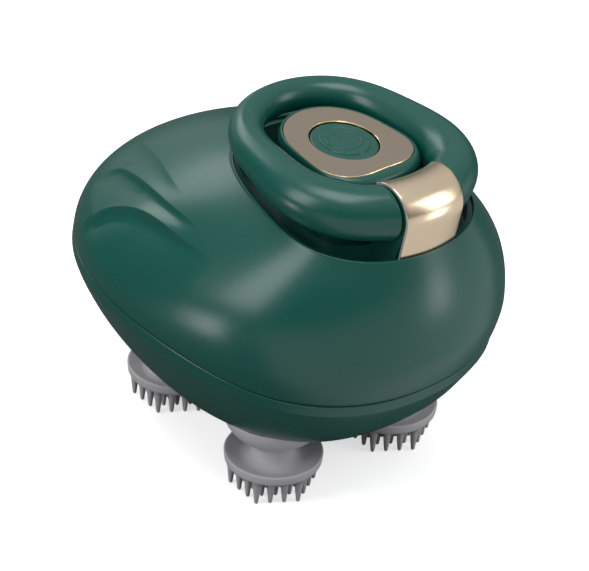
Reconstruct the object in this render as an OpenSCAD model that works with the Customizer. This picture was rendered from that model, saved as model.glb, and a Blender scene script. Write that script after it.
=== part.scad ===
// Cordless scalp massager: an egg-shaped two-part housing with moulded wave relief, four
// geared silicone massage heads, and a ring handle that swings on a pin under a metal clasp.
// +X points to the clasp (heel), -X to the narrow nose, Z up. It stands on the tooth tips.

/* [Body outline] */
// Mean radius of the widest outline
body_r = 49.5; // [48:0.5:56]
// How much longer the nose is than the heel
body_egg = 16.4; // [12:0.2:18]
// How much longer than wide the body is
body_oval = 7.5; // [6:0.25:9]
// How much the heel is flattened
body_tri = 2.9; // [1.5:0.1:3.5]
// Height of the widest outline at mid length
waist_z = 45.8; // [44.5:0.1:47]
// How much lower the widest outline is at the nose
waist_drop = 3; // [1:0.25:4]
// Height of the seam between the shells at mid length
seam_z = 42.7; // [42:0.1:44]
// How much higher the seam runs at the nose
seam_rise = 3.7; // [3:0.1:5]
// Roundness of the dome, as a power
dome_power = 2.08; // [1.8:0.02:2.4]
// Width of the dark gap at the seam
seam_gap = 0.3; // [0.2:0.05:0.4]
// Wall of the shells
wall = 2.2; // [1.8:0.1:2.6]

/* [Wave relief at the nose] */
// Depth of the step under each wave crest
wave_depth = 1.9; // [1:0.1:2.2]
// Width of the step under each wave crest
wave_step = 1.1; // [0.8:0.1:2]
// Angle off the nose at which the first crest rises
wave_start = 14.1; // [13:0.1:15]

/* [Bottom cover] */
// Height of the flat underside above the tooth tips
base_z = 20.9; // [20:0.1:22]
// Mean radius of the flat underside
base_r = 32.8; // [32:0.1:34]
// Thickness of the cover
cover_t = 3.5; // [3.2:0.1:4]
// Depth of the round pocket above each head
pocket_depth = 1.3; // [1:0.1:1.5]

/* [Tray and pod] */
// Mean radius of the tray opening
tray_r = 27.4; // [27:0.05:28]
// Height of the tray rim at mid length
tray_z = 76.5; // [76:0.05:77]
// Depth of the tray floor under the rim at mid length
tray_depth = 6; // [5.5:0.25:6.5]
// Width of the rim between shell edge and tray
rim_w = 0.6; // [0.5:0.1:0.9]
// Mean radius of the trim plate on the pod
plate_r = 13.95; // [13.2:0.05:14]
// Height of the trim plate's top face above the tray floor
pod_h = 16.9; // [16.5:0.1:17.5]
// Thickness of the trim plate
plate_t = 1.2; // [1:0.1:1.5]
// Mean radius of the pod
pod_r = 15.45; // [15.2:0.05:15.6]
// Drop of the pod's rounded shoulder round the plate
shoulder_drop = 2.2; // [1.5:0.1:2.6]
// Wall of the pod
pod_wall = 1.6; // [1.4:0.1:2]

/* [Ring handle] */
// Mean radius of the ring's centreline
ring_r = 22.9; // [22.8:0.05:23.5]
// Height of the ring's centreline above the tray rim, at the outlines' pole
ring_rise = 8.75; // [8.5:0.05:9.5]
// Slope of the ring, in mm of drop per mm towards the heel
ring_slope = 0.06; // [0.05:0.005:0.07]
// Half width of the tube at mid length
tube_w = 5.1; // [4.9:0.05:5.2]
// Half height of the tube at mid length
tube_h = 5.2; // [5:0.05:5.4]
// How much thicker the tube is at the heel
tube_swell = 1.35; // [1:0.05:1.4]

/* [Clasp and hinge] */
// Width of the metal clasp
clasp_w = 16; // [14:0.5:18]
// Thickness of the clasp's sheet
clasp_t = 0.8; // [0.6:0.1:1]
// Gap between the ring's ends and the clasp's width
clasp_gap = 0.4; // [0.3:0.05:0.6]
// Outer radius of the clasp's bend
clasp_r = 6.95; // [6.8:0.05:7.2]
// Lean of the clasp's flat apron towards the tray, in degrees
apron_lean = 11; // [10:0.2:12]
// Diameter of the hinge pin
pin_d = 3; // [2.5:0.1:3.5]
// How far the pin enters each ring end
pin_grip = 6.5; // [5:0.5:8]

/* [Power button] */
// Length of the button
button_len = 17.6; // [16:0.2:18]
// Width of the button
button_w = 14.4; // [13:0.2:15]
// Travel of the button
button_travel = 0.6; // [0.4:0.1:0.8]
// Gap round the button
button_gap = 0.25; // [0.15:0.05:0.35]

/* [Massage heads] */
// Length of the teeth
tooth_len = 6.6; // [6:0.1:7]
// Radius of a tooth at its root
tooth_r = 1.2; // [1:0.05:1.3]
// Radius of a tooth near its tip
tip_r = 0.48; // [0.4:0.02:0.6]
// Rows of teeth round the middle one
tooth_rings = 3; // [2:1:3]
// Distance from a head's axis to its corner teeth
tooth_reach = 10; // [9.5:0.1:10.3]
// Radius of the toothed disc
disc_r = 11.9; // [11.5:0.1:12.5]
// Height of the disc's lip
lip_h = 2.9; // [2.6:0.1:3.2]
// Radius of the waist above the disc
neck_r = 4.9; // [4.6:0.1:5.3]
// Radius of the skirt under the body
skirt_r = 12.6; // [12:0.1:13]
// Half distance between the two heel heads
heel_head_y = 17.9; // [17:0.1:19]
// Half distance between the two nose heads
nose_head_y = 15.6; // [15:0.1:17]

/* [Gear train] */
// Teeth of the sun gear
sun_teeth = 36; // [34:1:36]
// Teeth of each head's gear
head_teeth = 32; // [31:1:32]
// Teeth of the idler's pinion
idler_pinion_teeth = 12; // [12:1:13]
// Module of the head gears
head_module = 0.8; // [0.78:0.01:0.8]
// Teeth of the motor pinion
motor_pinion_teeth = 12; // [12:1:14]
// Width of the head gears
gear_w = 5; // [4:0.2:5.2]
// Width of the idler's large gear
idler_w = 3; // [2.4:0.2:3.2]
// Play between meshing teeth
backlash = 0.14; // [0.1:0.02:0.2]

/* [Shafts and bearings] */
// Diameter of each head spindle
spindle_d = 5; // [4.5:0.1:5.5]
// Outer diameter of the spindle bushes
bush_d = 8; // [7.5:0.1:9]
// Length of the spindle bushes in their bosses
bush_len = 4.3; // [4:0.1:4.6]
// Outer diameter of the spindle seals
seal_d = 12; // [11:0.5:13]
// Diameter of the sun gear's axle
sun_axle_d = 4; // [3.5:0.1:4.5]
// Diameter of the idler's axle
idler_axle_d = 3; // [2.5:0.1:3.2]
// Radial running clearance of shafts in their holes
run_gap = 0.04; // [0.02:0.01:0.08]

/* [Motor, cell and boards] */
// Diameter of the motor
motor_d = 24.4; // [22:0.2:25]
// Length of the motor's can
motor_len = 20; // [16:0.5:21]
// Thickness of the gearbox deck
deck_t = 2.5; // [2.2:0.1:3]
// Length of the battery cell, along X
cell_len = 27; // [22:0.5:28]
// Width of the battery cell
cell_w = 34; // [28:0.5:36]
// Height of the battery cell
cell_h = 9; // [7:0.5:10]
// Length of the main board, along X
board_len = 27; // [24:0.5:28]
// Width of the main board
board_w = 26; // [22:0.5:28]
// Thickness of the circuit boards
board_t = 1.2; // [1:0.1:1.6]

/* [Hidden] */
$fn = 48;
touch = 0.1;            // small air gap between parts that only face each other

// Colours
green = [0.07, 0.31, 0.26];
dark_green = [0.04, 0.17, 0.15];
taupe = [0.57, 0.51, 0.45];
champagne = [0.85, 0.76, 0.63];
grey = [0.56, 0.56, 0.56];
steel = [0.75, 0.76, 0.78];
nylon = [0.93, 0.92, 0.88];
bronze = [0.70, 0.52, 0.30];
black = [0.12, 0.12, 0.13];
board_green = [0.10, 0.40, 0.20];
cell_blue = [0.25, 0.42, 0.65];

// ---- Outlines: a radius that varies with the angle a, as mean, egg, oval and triangle parts
function lobed(c, a) = c[0] + c[1] * cos(a) + c[2] * cos(2 * a) + c[3] * cos(3 * a);
function outline_pt(c, x, a, grow = 0) =
    [x + (lobed(c, a) + grow) * cos(a), (lobed(c, a) + grow) * sin(a)];
function outline(c, x, grow = 0, step = 5) =
    [for (a = [0:step:360 - step]) outline_pt(c, x, a, grow)];

body_plan = [body_r, -body_egg, body_oval, -body_tri];
base_plan = [base_r, -12.1, 2.5, -1.4];
tray_plan = [tray_r, -3.32, 3.15, -1.85];
rim_tilt = 2.25;        // how much lower the rim is at the heel than at mid length
plate_plan = [plate_r, -4.2, 1.3, -1.5];
pod_plan = [pod_r, -3.4, 2.05, -1.4];
ring_plan = [ring_r, 1.7, 2.75, -0.2];
tray_floor_z = tray_z - tray_depth;
plate_z = tray_floor_z + pod_h;
ring_z = tray_z + ring_rise;
ring_flat = 0.4;        // how much the ring is drawn in at heel, nose and sides
crease_drop = 3;        // height of the plain band under the seam
crease_out = 0.3;       // how proud the band's lower edge stands
// The outlines' common pole, placed so that the origin is at the middle of the length
pod_x = (lobed(body_plan, 180) + crease_out - lobed(body_plan, 0)) / 2;
tray_x = 7.3;           // tray outline's centre, from the pole
plate_x = 5.6;          // trim plate outline's centre, from the pole
button_x = 0.6;         // button's centre, from the pole

// ---- Body surface: from the widest outline up to the tray rim and down to the underside
dome_lift = 0.916;
belly_power = 1.4;
belly_lift = 1.34;
function waist_height(a) = waist_z + waist_drop * cos(a);
function rim_height(a) = tray_z - rim_tilt * cos(a);
function seam_height(a) = seam_z - seam_rise * cos(a);
function mix(p, q, t) = p + (q - p) * t;
function unit(v) = v / norm(v);
function smooth(t) = let(u = max(0, min(1, t))) u * u * (3 - 2 * u);
function body_pt(a, z) =
    let(
        up = z >= waist_height(a),
        end_z = up ? rim_height(a) : base_z,
        reach = max(0, min(1, (z - waist_height(a)) / (end_z - waist_height(a)))),
        s = pow(reach, 1 / (up ? dome_lift : belly_lift)),
        w = pow(max(0, 1 - s * s), (up ? dome_power : belly_power) / 2),
        inner = up ? outline_pt(tray_plan, tray_x, a) : outline_pt(base_plan, 0, a),
        xy = mix(inner, outline_pt(body_plan, 0, a), w)
    ) [xy[0], xy[1], z];
function body_normal(a, z) =
    let(
        h = min(z + 0.4, rim_height(a) - 0.05),
        along = body_pt(a + 0.5, z) - body_pt(a - 0.5, z),
        upward = body_pt(a, h) - body_pt(a, h - 0.8)
    ) unit(cross(along, upward));
function body_in(a, z, depth) = body_pt(a, z) - depth * body_normal(a, z);

// ---- Wave relief: three crest lines per side, each rising from the seam beside the nose and
// levelling out towards the tray. Below a crest the surface steps in and swells out again.
wave_tops = [71.7, 69.8, 66.6]; // heights that the crests level out to
wave_starts = [for (turn = [0, 9.9, 23.6]) wave_start + turn];
wave_falls = [7.8, 7.1, 8.4];   // fall from the level part to the start, in mm
wave_reaches = [8.9, 10, 5];    // angle over which a crest levels out
wave_bends = [0.45, 1.6, 0.9];  // how round the crest's first rise is, in degrees times mm
wave_ends = [50, 68, 84];       // angle off the nose at which each wave has faded
wave_fades = [22, 22, 34];      // angle over which it fades
wave_shares = [0.6, 1, 1];      // depth of each wave as a share of the deepest
mm_per_degree = 0.95;
rise_per_mm = 1.8;              // surface length per mm of height near the crests
function off_nose(a) = abs(180 - a);
function crest_z(k, a, s) =
    let(
        far = max(off_nose(a) - wave_starts[k] - s / mm_per_degree, 0.02)
    ) wave_tops[k] - s / rise_per_mm - wave_falls[k] * exp(-far / wave_reaches[k])
    - wave_bends[k] / far;
row_min = 0.8;                  // least height between two rows of the shell's surface
function crest_row(k, a, s, order) = max(crest_z(k, a, s), seam_height(a) + order * row_min);
function wave_in(k, a, z, t) =
    wave_depth * wave_shares[k] * pow(1 - t, 1.3)
    * smooth((wave_ends[k] - off_nose(a)) / wave_fades[k])
    * smooth((z - seam_height(a) - 3) / 7);
// Rows between heights hi and lo, from t0 to t1 of a wave that swells out again, as [z, depth]
function wave_rows(k, a, hi, lo, count) =
    [for (i = [1:count]) let(t = i / (count + 1), z = mix(hi, lo, t)) [z, wave_in(k, a, z, t)]];
function shell_rows(a) =
    let(
        c0 = crest_row(0, a, 0, 8), d0 = crest_row(0, a, wave_step, 7),
        c1 = crest_row(1, a, 0, 6), d1 = crest_row(1, a, wave_step, 5),
        c2 = crest_row(2, a, 0, 4), d2 = crest_row(2, a, wave_step, 3),
        top = rim_height(a), low = seam_height(a) + seam_gap / 2
    ) concat(
        [for (i = [0:6]) [mix(top, c0, 1 - pow(1 - i / 7, 1.2)), 0]],
        [[c0, 0], [d0, wave_in(0, a, d0, 0)]], wave_rows(0, a, d0, c1, 2),
        [[c1, 0], [d1, wave_in(1, a, d1, 0)]], wave_rows(1, a, d1, c2, 2),
        [[c2, 0], [d2, wave_in(2, a, d2, 0)]], wave_rows(2, a, d2, low, 4), [[low, 0]]
    );

// ---- Lofted solids from rings of points
function ring_faces(count, size, closed) = [
    for (r = [0:count - (closed ? 1 : 2)], i = [0:size - 1])
    let(
        a = r * size + i, b = r * size + (i + 1) % size,
        c = ((r + 1) % count) * size + (i + 1) % size, d = ((r + 1) % count) * size + i
    ) each [[a, b, c], [a, c, d]]
];
function flat(rings) = [for (r = rings) each r];
// A hollow solid, such as a shell: the last ring joins the first
module wrapped_loft(rings) {
    polyhedron(flat(rings), ring_faces(len(rings), len(rings[0]), true), convexity = 8);
}
// A solid with a flat cap on its first and last ring
module capped_loft(rings) {
    size = len(rings[0]);
    count = len(rings);
    polyhedron(
        flat(rings),
        concat(
            ring_faces(count, size, false),
            [[for (i = [size - 1:-1:0]) i], [for (i = [0:size - 1]) (count - 1) * size + i]]
        ),
        convexity = 8
    );
}
// Angles round the body, finer at the nose
body_angles = concat([for (a = [0:7.5:97.5]) a], [for (a = [105:3:255]) a],
    [for (a = [262.5:7.5:352.5]) a]);
module from_pole() { translate([pod_x, 0, 0]) children(); }

// ---- Heights of the stack, from the tooth tips up
cover_top = base_z + cover_t;
pocket_z = base_z + pocket_depth;
skirt_top = pocket_z - 0.4;
seal_h = 1.9;
bush_z = pocket_z + seal_h + touch;
bush_top = bush_z + bush_len;
flange_t = 0.7;
washer_t = 0.6;
washer_z = bush_top + flange_t + touch;
gear_z = washer_z + washer_t + touch;
gear_top = gear_z + gear_w;
idler_z = gear_top + 1.2;
idler_top = idler_z + idler_w;
deck_z = idler_top + 1.2;
deck_top = deck_z + deck_t;

// ---- Gear train: the sun gear drives four head gears and is driven by the idler's pinion.
// The motor is in line with the sun gear.
head_link = head_module * (sun_teeth + head_teeth) / 2;
idler_link = head_module * (sun_teeth + idler_pinion_teeth) / 2;
idler_ratio = 4.3;
idler_teeth = round(idler_ratio * motor_pinion_teeth);
motor_module = 2 * idler_link / (idler_teeth + motor_pinion_teeth);
sun_x = -17.6;
heel_head_x = sun_x + sqrt(head_link * head_link - heel_head_y * heel_head_y);
nose_head_x = sun_x - sqrt(head_link * head_link - nose_head_y * nose_head_y);
heel_left = [heel_head_x, -heel_head_y];
heel_right = [heel_head_x, heel_head_y];
nose_left = [nose_head_x, -nose_head_y];
nose_right = [nose_head_x, nose_head_y];
head_places = [heel_left, heel_right, nose_left, nose_right];
sun_place = [sun_x, 0];
idler_place = [sun_x, idler_link];
addendum = 0.8;
dedendum = 1.15;
pressure = 20;
function involute(a) = tan(a) * 180 / PI - a;
function tooth_half(teeth, m, r) =
    let(pitch = m * teeth / 2, base = pitch * cos(pressure))
    90 / teeth - backlash / 2 / pitch * 180 / PI + involute(pressure)
    - involute(acos(min(1, base / r)));
function polar(r, a) = [r * cos(a), r * sin(a)];
function gear_outline(teeth, m) =
    let(
        pitch = m * teeth / 2, base = pitch * cos(pressure), root = pitch - dedendum * m,
        low = max(base, root), tip = pitch + addendum * m, steps = 4,
        flank = [for (i = [0:steps]) mix(low, tip, i / steps)]
    ) [
        for (t = [0:teeth - 1]) let(c = 360 * t / teeth) each concat(
            root < low ? [polar(root, c - tooth_half(teeth, m, low))] : [],
            [for (r = flank) polar(r, c - tooth_half(teeth, m, r))],
            [for (i = [steps:-1:0]) polar(flank[i], c + tooth_half(teeth, m, flank[i]))],
            root < low ? [polar(root, c + tooth_half(teeth, m, low))] : []
        )
    ];
// Angle of gear b, so that its gap meets a tooth of gear a in the direction dir from a to b
function mesh_angle(teeth_a, angle_a, teeth_b, dir) =
    let(part = (dir - angle_a) * teeth_a / 360) dir + 180 - (0.5 - part) * 360 / teeth_b;
function direction(p, q) = atan2(q[1] - p[1], q[0] - p[0]);
module gear(teeth, m, width, bore, angle) {
    rotate(angle) difference() {
        linear_extrude(width) polygon(gear_outline(teeth, m));
        translate([0, 0, -1]) cylinder(d = bore, h = width + 2);
    }
}
module tube(outer_d, inner_d, h) {
    difference() {
        cylinder(d = outer_d, h = h);
        translate([0, 0, -1]) cylinder(d = inner_d, h = h + 2);
    }
}
module at(place, z) { translate([place[0], place[1], z]) children(); }

// ---- Housing
boss_d = 7;
boss_angles = [46, 134, 226, 314];
function inset_place(a, z, inset) =
    let(p = body_pt(a, z)) [p[0] - inset * cos(a), p[1] - inset * sin(a)];
boss_low = cover_top + 9;
boss_places = [for (a = boss_angles) inset_place(a, boss_low, wall + 4.8)];
lower_web = 5;          // reach of the webs from the bosses into the wall
upper_webs = [9.4, 6.6, 6.6, 9.4];
boss_rise = 9;          // height of the upper shell's bosses
shell_screw_d = 2.6;
thread_d = 2.1;         // pilot hole for the shell and cover screws
cover_boss_h = 8;
cover_boss_d = 6;
cover_screw_angles = [0, 122, 180, 238];
cover_screw_inset = 5.2;        // from the shell's outside
cover_screw_places = [for (a = cover_screw_angles)
    inset_place(a, cover_top, cover_screw_inset)];
cover_head_z = base_z + 2.5;    // the heads' seat in the cover
cover_screw_d = 2.6;
screw_head_d = 4.8;
screw_head_h = 1.4;

// A boss beside the wall: its web runs outwards at angle a
module wall_boss(place, a, z0, z1, d, bore, web, web_z) {
    difference() {
        union() {
            at(place, z0) cylinder(d = d, h = z1 - z0);
            at(place, web_z[0]) rotate(a) translate([0, -0.8, 0])
                cube([web, 1.6, web_z[1] - web_z[0]]);
        }
        at(place, z0 - 1) cylinder(d = bore, h = z1 - z0 + 2);
    }
}

module upper_shell_skin() {
    inner_steps = 7;
    relief = [for (a = body_angles) wave_depth * smooth((wave_ends[2] - off_nose(a)) / wave_fades[2])];
    function inner_row(j) = [
        for (i = [0:len(body_angles) - 1]) let(
            a = body_angles[i], z0 = seam_height(a) + seam_gap / 2, z1 = rim_height(a) - 5,
            p = body_in(a, mix(z0, z1, j / inner_steps), wall + (j > 0 ? relief[i] : 0))
        ) j == 0 ? [p[0], p[1], z0] : p
    ];
    function lip(drop) = [for (a = body_angles)
        let(p = outline_pt(tray_plan, tray_x, a, -rim_w)) [p[0], p[1], rim_height(a) - drop]];
    rows = [for (a = body_angles) shell_rows(a)];
    outer = [for (r = [0:len(rows[0]) - 1]) [
        for (i = [0:len(body_angles) - 1]) body_in(body_angles[i], rows[i][r][0], rows[i][r][1])]];
    wrapped_loft(concat(outer, [for (j = [0:inner_steps]) inner_row(j)], [lip(2.8), lip(0)]));
}

module upper_shell() {
    color(green) from_pole() {
        upper_shell_skin();
        for (i = [0:len(boss_angles) - 1]) {
            z = seam_height(boss_angles[i]) + seam_gap / 2;
            wall_boss(boss_places[i], boss_angles[i], z, z + boss_rise, boss_d, thread_d,
                upper_webs[i], [z + 1, z + boss_rise - 2]);
        }
    }
}

module lower_shell_skin() {
    steps = [0.2, 0.4, 0.6, 0.8, 1];
    function outer_row(drop_of) = [for (i = [0:len(body_angles) - 1]) let(
        a = body_angles[i], top = seam_height(a) - seam_gap / 2, drop = drop_of[i],
        fade = max(0, 1 - (drop - crease_drop) / (3 * crease_drop)),
        proud = crease_out * (drop <= crease_drop ? drop / crease_drop : fade)
    ) body_in(a, top - drop, -proud)];
    depth = [for (a = body_angles) seam_height(a) - seam_gap / 2 - cover_top];
    outer = [
        outer_row([for (d = depth) 0]), outer_row([for (d = depth) crease_drop]),
        for (t = steps) outer_row([for (d = depth) mix(crease_drop, d, t)])
    ];
    inner = [for (t = [1, 0.7, 0.4, 0.15, 0]) [for (a = body_angles) let(
        z = mix(seam_height(a) - seam_gap / 2, cover_top, t),
        p = inset_place(a, z, wall * (1 + 0.8 * t))
    ) [p[0], p[1], z]]];
    wrapped_loft(concat(outer, inner));
}

module lower_shell() {
    color(green) from_pole() {
        lower_shell_skin();
        for (i = [0:len(boss_angles) - 1])
            let(z = seam_height(boss_angles[i]) - seam_gap / 2)
                wall_boss(boss_places[i], boss_angles[i], boss_low, z, boss_d,
                    shell_screw_d + 0.4, lower_web, [boss_low, z - 1]);
        for (i = [0:len(cover_screw_angles) - 1])
            wall_boss(cover_screw_places[i], cover_screw_angles[i], cover_top,
                cover_top + cover_boss_h, cover_boss_d, thread_d, cover_screw_inset - 1,
                [cover_top, cover_top + cover_boss_h]);
    }
}

module seam_gasket() {
    function side(depth, dz) = [for (a = body_angles)
        let(z = seam_height(a), p = inset_place(a, z, depth)) [p[0], p[1], z + dz]];
    h = seam_gap / 2 - 0.05;
    color(black) from_pole()
        wrapped_loft([side(0.6, h), side(0.6, -h), side(wall - 0.3, -h), side(wall - 0.3, h)]);
}

contact_inset = 11.7;   // from the shell's outside at the heel
contact_x = inset_place(0, cover_top, contact_inset)[0];
contact_places = [for (s = [-1, 1]) [contact_x, s * 3.2]];
contact_d = 3.2;
contact_top = cover_top + 3.6;
holder_len = 6;
holder_w = 12;
holder_h = 2.6;
post_d = 5;
post_bore_d = 2.2;
nose_post_x = nose_head_x - 4.6;    // between the nose gears and the nose cover screw
post_places = [[contact_x - holder_len / 2 - post_d / 2, 0], [nose_post_x, 0], [sun_x, -24.5]];
axle_boss_d = 9;
axle_grip = 1.5;        // how far the axles enter the cover

module bottom_cover() {
    levels = [base_z, base_z + 0.7, base_z + 1.6, base_z + 2.5, cover_top];
    color(green) from_pole() difference() {
        union() {
            capped_loft([for (i = [len(levels) - 1:-1:0])
                [for (a = [0:5:355]) body_pt(a, levels[i])]]);
            for (p = head_places) at(p, cover_top - 1)
                cylinder(d = seal_d + 3, h = bush_top - cover_top + 1);
            for (p = post_places) at(p, cover_top - 1)
                cylinder(d = post_d, h = deck_z - cover_top + 1);
            for (p = [sun_place, idler_place]) at(p, cover_top - 1)
                cylinder(d = axle_boss_d, h = washer_z + washer_t - cover_top + 1);
        }
        for (p = head_places) {
            at(p, base_z - 3) cylinder(r = skirt_r + 0.4, h = 3 + pocket_depth);
            at(p, pocket_z - 1) cylinder(d = seal_d, h = 1 + seal_h + touch);
            at(p, pocket_z) cylinder(d = bush_d, h = bush_top - pocket_z + 2);
        }
        for (p = post_places) at(p, deck_z - 9) cylinder(d = post_bore_d, h = 12);
        at(sun_place, cover_top - axle_grip) cylinder(d = sun_axle_d, h = 12);
        at(idler_place, cover_top - axle_grip) cylinder(d = idler_axle_d, h = 12);
        for (p = cover_screw_places) {
            at(p, base_z - 1) cylinder(d = cover_screw_d + 0.4, h = 12);
            at(p, base_z - 1) cylinder(d = screw_head_d + 0.4, h = cover_head_z - base_z + 1);
        }
        for (p = contact_places) at(p, base_z - 1) cylinder(d = contact_d, h = 12);
    }
}

// ---- Ring centreline and hinge place
function ring_pt(a) =
    let(r = lobed(ring_plan, a) - ring_flat * cos(4 * a), x = r * cos(a))
    [x, r * sin(a), ring_z - ring_slope * x];
ring_end_y = clasp_w / 2 + clasp_gap;
// Angle at which the ring's centreline is ring_end_y from the middle
function ring_end(lo, hi, n) = let(mid = (lo + hi) / 2)
    n == 0 ? mid : ring_pt(mid)[1] < ring_end_y ? ring_end(mid, hi, n - 1)
    : ring_end(lo, mid, n - 1);
end_angle = ring_end(5, 45, 24);
hinge_x = ring_pt(end_angle)[0];
hinge_z = ring_pt(end_angle)[2];

// ---- Tray, pod, trim plate and button
tray_t = 1.6;
tray_wall = 1.3;
tray_bottom_z = tray_floor_z - tray_t;
pod_floor_z = plate_z - plate_t;
roof_t = 1.6;
roof_z = pod_floor_z - roof_t;
flange_h = 0.8;
flange_grow = 0.9;
flange_z = roof_z - flange_h - touch;
stem_d = 3;
plunger_d = 3.2;
plunger_h = 1.7;
plunger_z = flange_z - 2.1 - plunger_h;
switch_h = 3.6;
switch_z = plunger_z + plunger_h - 0.6 - switch_h;
switch_size = 6;
switch_board_z = switch_z - board_t;
switch_board_len = 22;
switch_board_w = 13;
board_post_places = [for (s = [-1, 1]) [button_x + s * 8.5, 0]];
board_post_d = 4;
pod_boss_places = [[-12.4, 0], [13, 5.5], [13, -5.5]];
pod_boss_d = 4.4;
pod_boss_h = 0.26 * pod_h;
pod_thread_h = pod_boss_h - 0.9;
small_thread_d = 1.7;
small_screw_d = 2;
small_head_d = 3.8;
small_head_h = 1.2;
bracket_screw_places = [for (s = [-1, 1]) [hinge_x - 0.5, s * 4.5]];

function plan_ring(c, x, grow, z) =
    [for (p = outline(c, x, grow)) [p[0], p[1], z]];

module handle_tray() {
    function wall_ring(grow, drop) = [for (a = [0:5:355]) let(
        p = outline_pt(tray_plan, tray_x, a, grow)) [p[0], p[1], rim_height(a) - drop]];
    outer = -rim_w - touch;
    inner = outer - tray_wall;
    color(dark_green) from_pole() difference() {
        union() {
            capped_loft([
                plan_ring(tray_plan, tray_x, inner, tray_floor_z), wall_ring(inner, 0.5),
                wall_ring(outer, 0.5), plan_ring(tray_plan, tray_x, outer, tray_bottom_z)
            ]);
            for (p = board_post_places) at(p, tray_floor_z - 0.5)
                cylinder(d = board_post_d, h = switch_board_z - tray_floor_z + 0.5);
        }
        for (p = board_post_places) at(p, tray_floor_z)
            cylinder(d = small_thread_d, h = 20);
        for (p = concat(pod_boss_places, bracket_screw_places)) at(p, tray_bottom_z - 1)
            cylinder(d = small_screw_d + 0.2, h = tray_t + 2);
        // way through for the switch leads
        at([plate_x, 5], tray_bottom_z - 1) cylinder(d = 5, h = tray_t + 2);
    }
}

module control_pod() {
    shoulder = [0.25, 0.5, 0.75, 0.92, 1];
    function edge_ring(t) = [for (a = [0:5:355]) let(
        p = mix(outline_pt(plate_plan, plate_x, a, 0.35), outline_pt(pod_plan, plate_x, a), t)
    ) [p[0], p[1], plate_z - shoulder_drop * (1 - sqrt(1 - t * t))]];
    color(green) from_pole() difference() {
        union() {
            capped_loft(concat(
                [plan_ring(plate_plan, plate_x, 0.1, pod_floor_z),
                plan_ring(plate_plan, plate_x, 0.1, plate_z - 0.1), edge_ring(0)],
                [for (t = shoulder) edge_ring(t)],
                [plan_ring(pod_plan, plate_x, 0, tray_floor_z),
                plan_ring(pod_plan, plate_x, -pod_wall, tray_floor_z),
                plan_ring(pod_plan, plate_x, -pod_wall, roof_z)]
            ));
            for (p = pod_boss_places) at(p, tray_floor_z)
                cylinder(d = pod_boss_d, h = pod_boss_h);
            for (p = pod_boss_places) at(p, tray_floor_z)
                rotate(direction([plate_x, 0], p)) translate([0, -0.6, 0])
                    cube([pod_boss_d / 2 + 1.4, 1.2, pod_boss_h]);
        }
        for (p = pod_boss_places) at(p, tray_floor_z - 1)
            cylinder(d = small_thread_d, h = pod_thread_h + 1);
        button_hole(roof_z - 1, roof_t + 2);
    }
}
module ellipse_rod(len, w, h) { scale([len / 2, w / 2, 1]) cylinder(r = 1, h = h); }
module button_hole(z, h) {
    at([button_x, 0], z) ellipse_rod(button_len + 2 * button_gap, button_w + 2 * button_gap, h);
}

module trim_plate() {
    color(taupe) from_pole() difference() {
        at([0, 0], pod_floor_z) linear_extrude(plate_t)
            polygon(outline(plate_plan, plate_x, 0, 3));
        button_hole(pod_floor_z - 1, plate_t + 2);
    }
}

module power_button() {
    disc_scale = 0.74;
    mark_r = 3.7;
    mark_w = 0.6;
    mark_h = 0.15;
    disc_h = 0.3;
    body_h = plate_z - 0.3 - roof_z;
    mark_z = roof_z + body_h + disc_h;
    color(green) from_pole() {
        at([button_x, 0], roof_z) ellipse_rod(button_len, button_w, body_h);
        at([button_x, 0], roof_z + body_h) ellipse_rod(button_len * disc_scale,
            button_w * disc_scale, disc_h);
        at([button_x, 0], flange_z) ellipse_rod(button_len + 2 * flange_grow,
            button_w + 2 * flange_grow, flange_h);
        at([button_x, 0], flange_z + flange_h) ellipse_rod(button_len, button_w, touch);
        at([button_x, 0], plunger_z + plunger_h)
            cylinder(d = stem_d, h = flange_z - plunger_z - plunger_h);
        // plain on-off mark: an open circle and a bar
        at([button_x, 0], mark_z) rotate(215) rotate_extrude(angle = 290)
            translate([mark_r, 0]) square([mark_w, mark_h]);
        at([button_x, 0], mark_z) rotate(180) translate([1.2, -mark_w / 2, 0])
            cube([mark_r - 0.2, mark_w, mark_h]);
    }
}

module switch_plunger() {
    color(black) from_pole() at([button_x, 0], plunger_z) cylinder(d = plunger_d, h = plunger_h);
}
module tact_switch() {
    color(steel) from_pole() difference() {
        at([button_x - switch_size / 2, -switch_size / 2], switch_z)
            cube([switch_size, switch_size, switch_h]);
        at([button_x, 0], plunger_z - button_travel - touch)
            cylinder(d = plunger_d + 2 * touch, h = switch_h);
    }
}
module switch_board() {
    color(board_green) from_pole() difference() {
        at([button_x - switch_board_len / 2, -switch_board_w / 2], switch_board_z)
            cube([switch_board_len, switch_board_w, board_t]);
        for (p = board_post_places) at(p, switch_board_z - 1)
            cylinder(d = small_screw_d + 0.2, h = board_t + 2);
    }
}

// ---- Ring handle, clasp and hinge
ring_sections = 56;
tube_sides = 20;
function ring_section(i) =
    let(
        a = mix(end_angle, 360 - end_angle, i / ring_sections),
        tangent = ring_pt(a + 0.5) - ring_pt(a - 0.5),
        out = unit([tangent[1], -tangent[0]]),
        near_end = smooth(min(i, ring_sections - i) / 5),
        side = unit(mix([1, 0], out, near_end)),
        half_w = tube_w + tube_swell * cos(a), half_h = tube_h + tube_swell * cos(a),
        c = ring_pt(a), y = i == 0 ? ring_end_y : i == ring_sections ? -ring_end_y : c[1]
    ) [for (k = [0:tube_sides - 1]) let(t = 360 * k / tube_sides)
        [c[0] + half_w * cos(t) * side[0], y + half_w * cos(t) * side[1],
            c[2] + half_h * sin(t)]];

module along_y(x, y, z, d, len) {
    translate([x, y, z]) rotate([-90, 0, 0]) cylinder(d = d, h = len);
}

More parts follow.
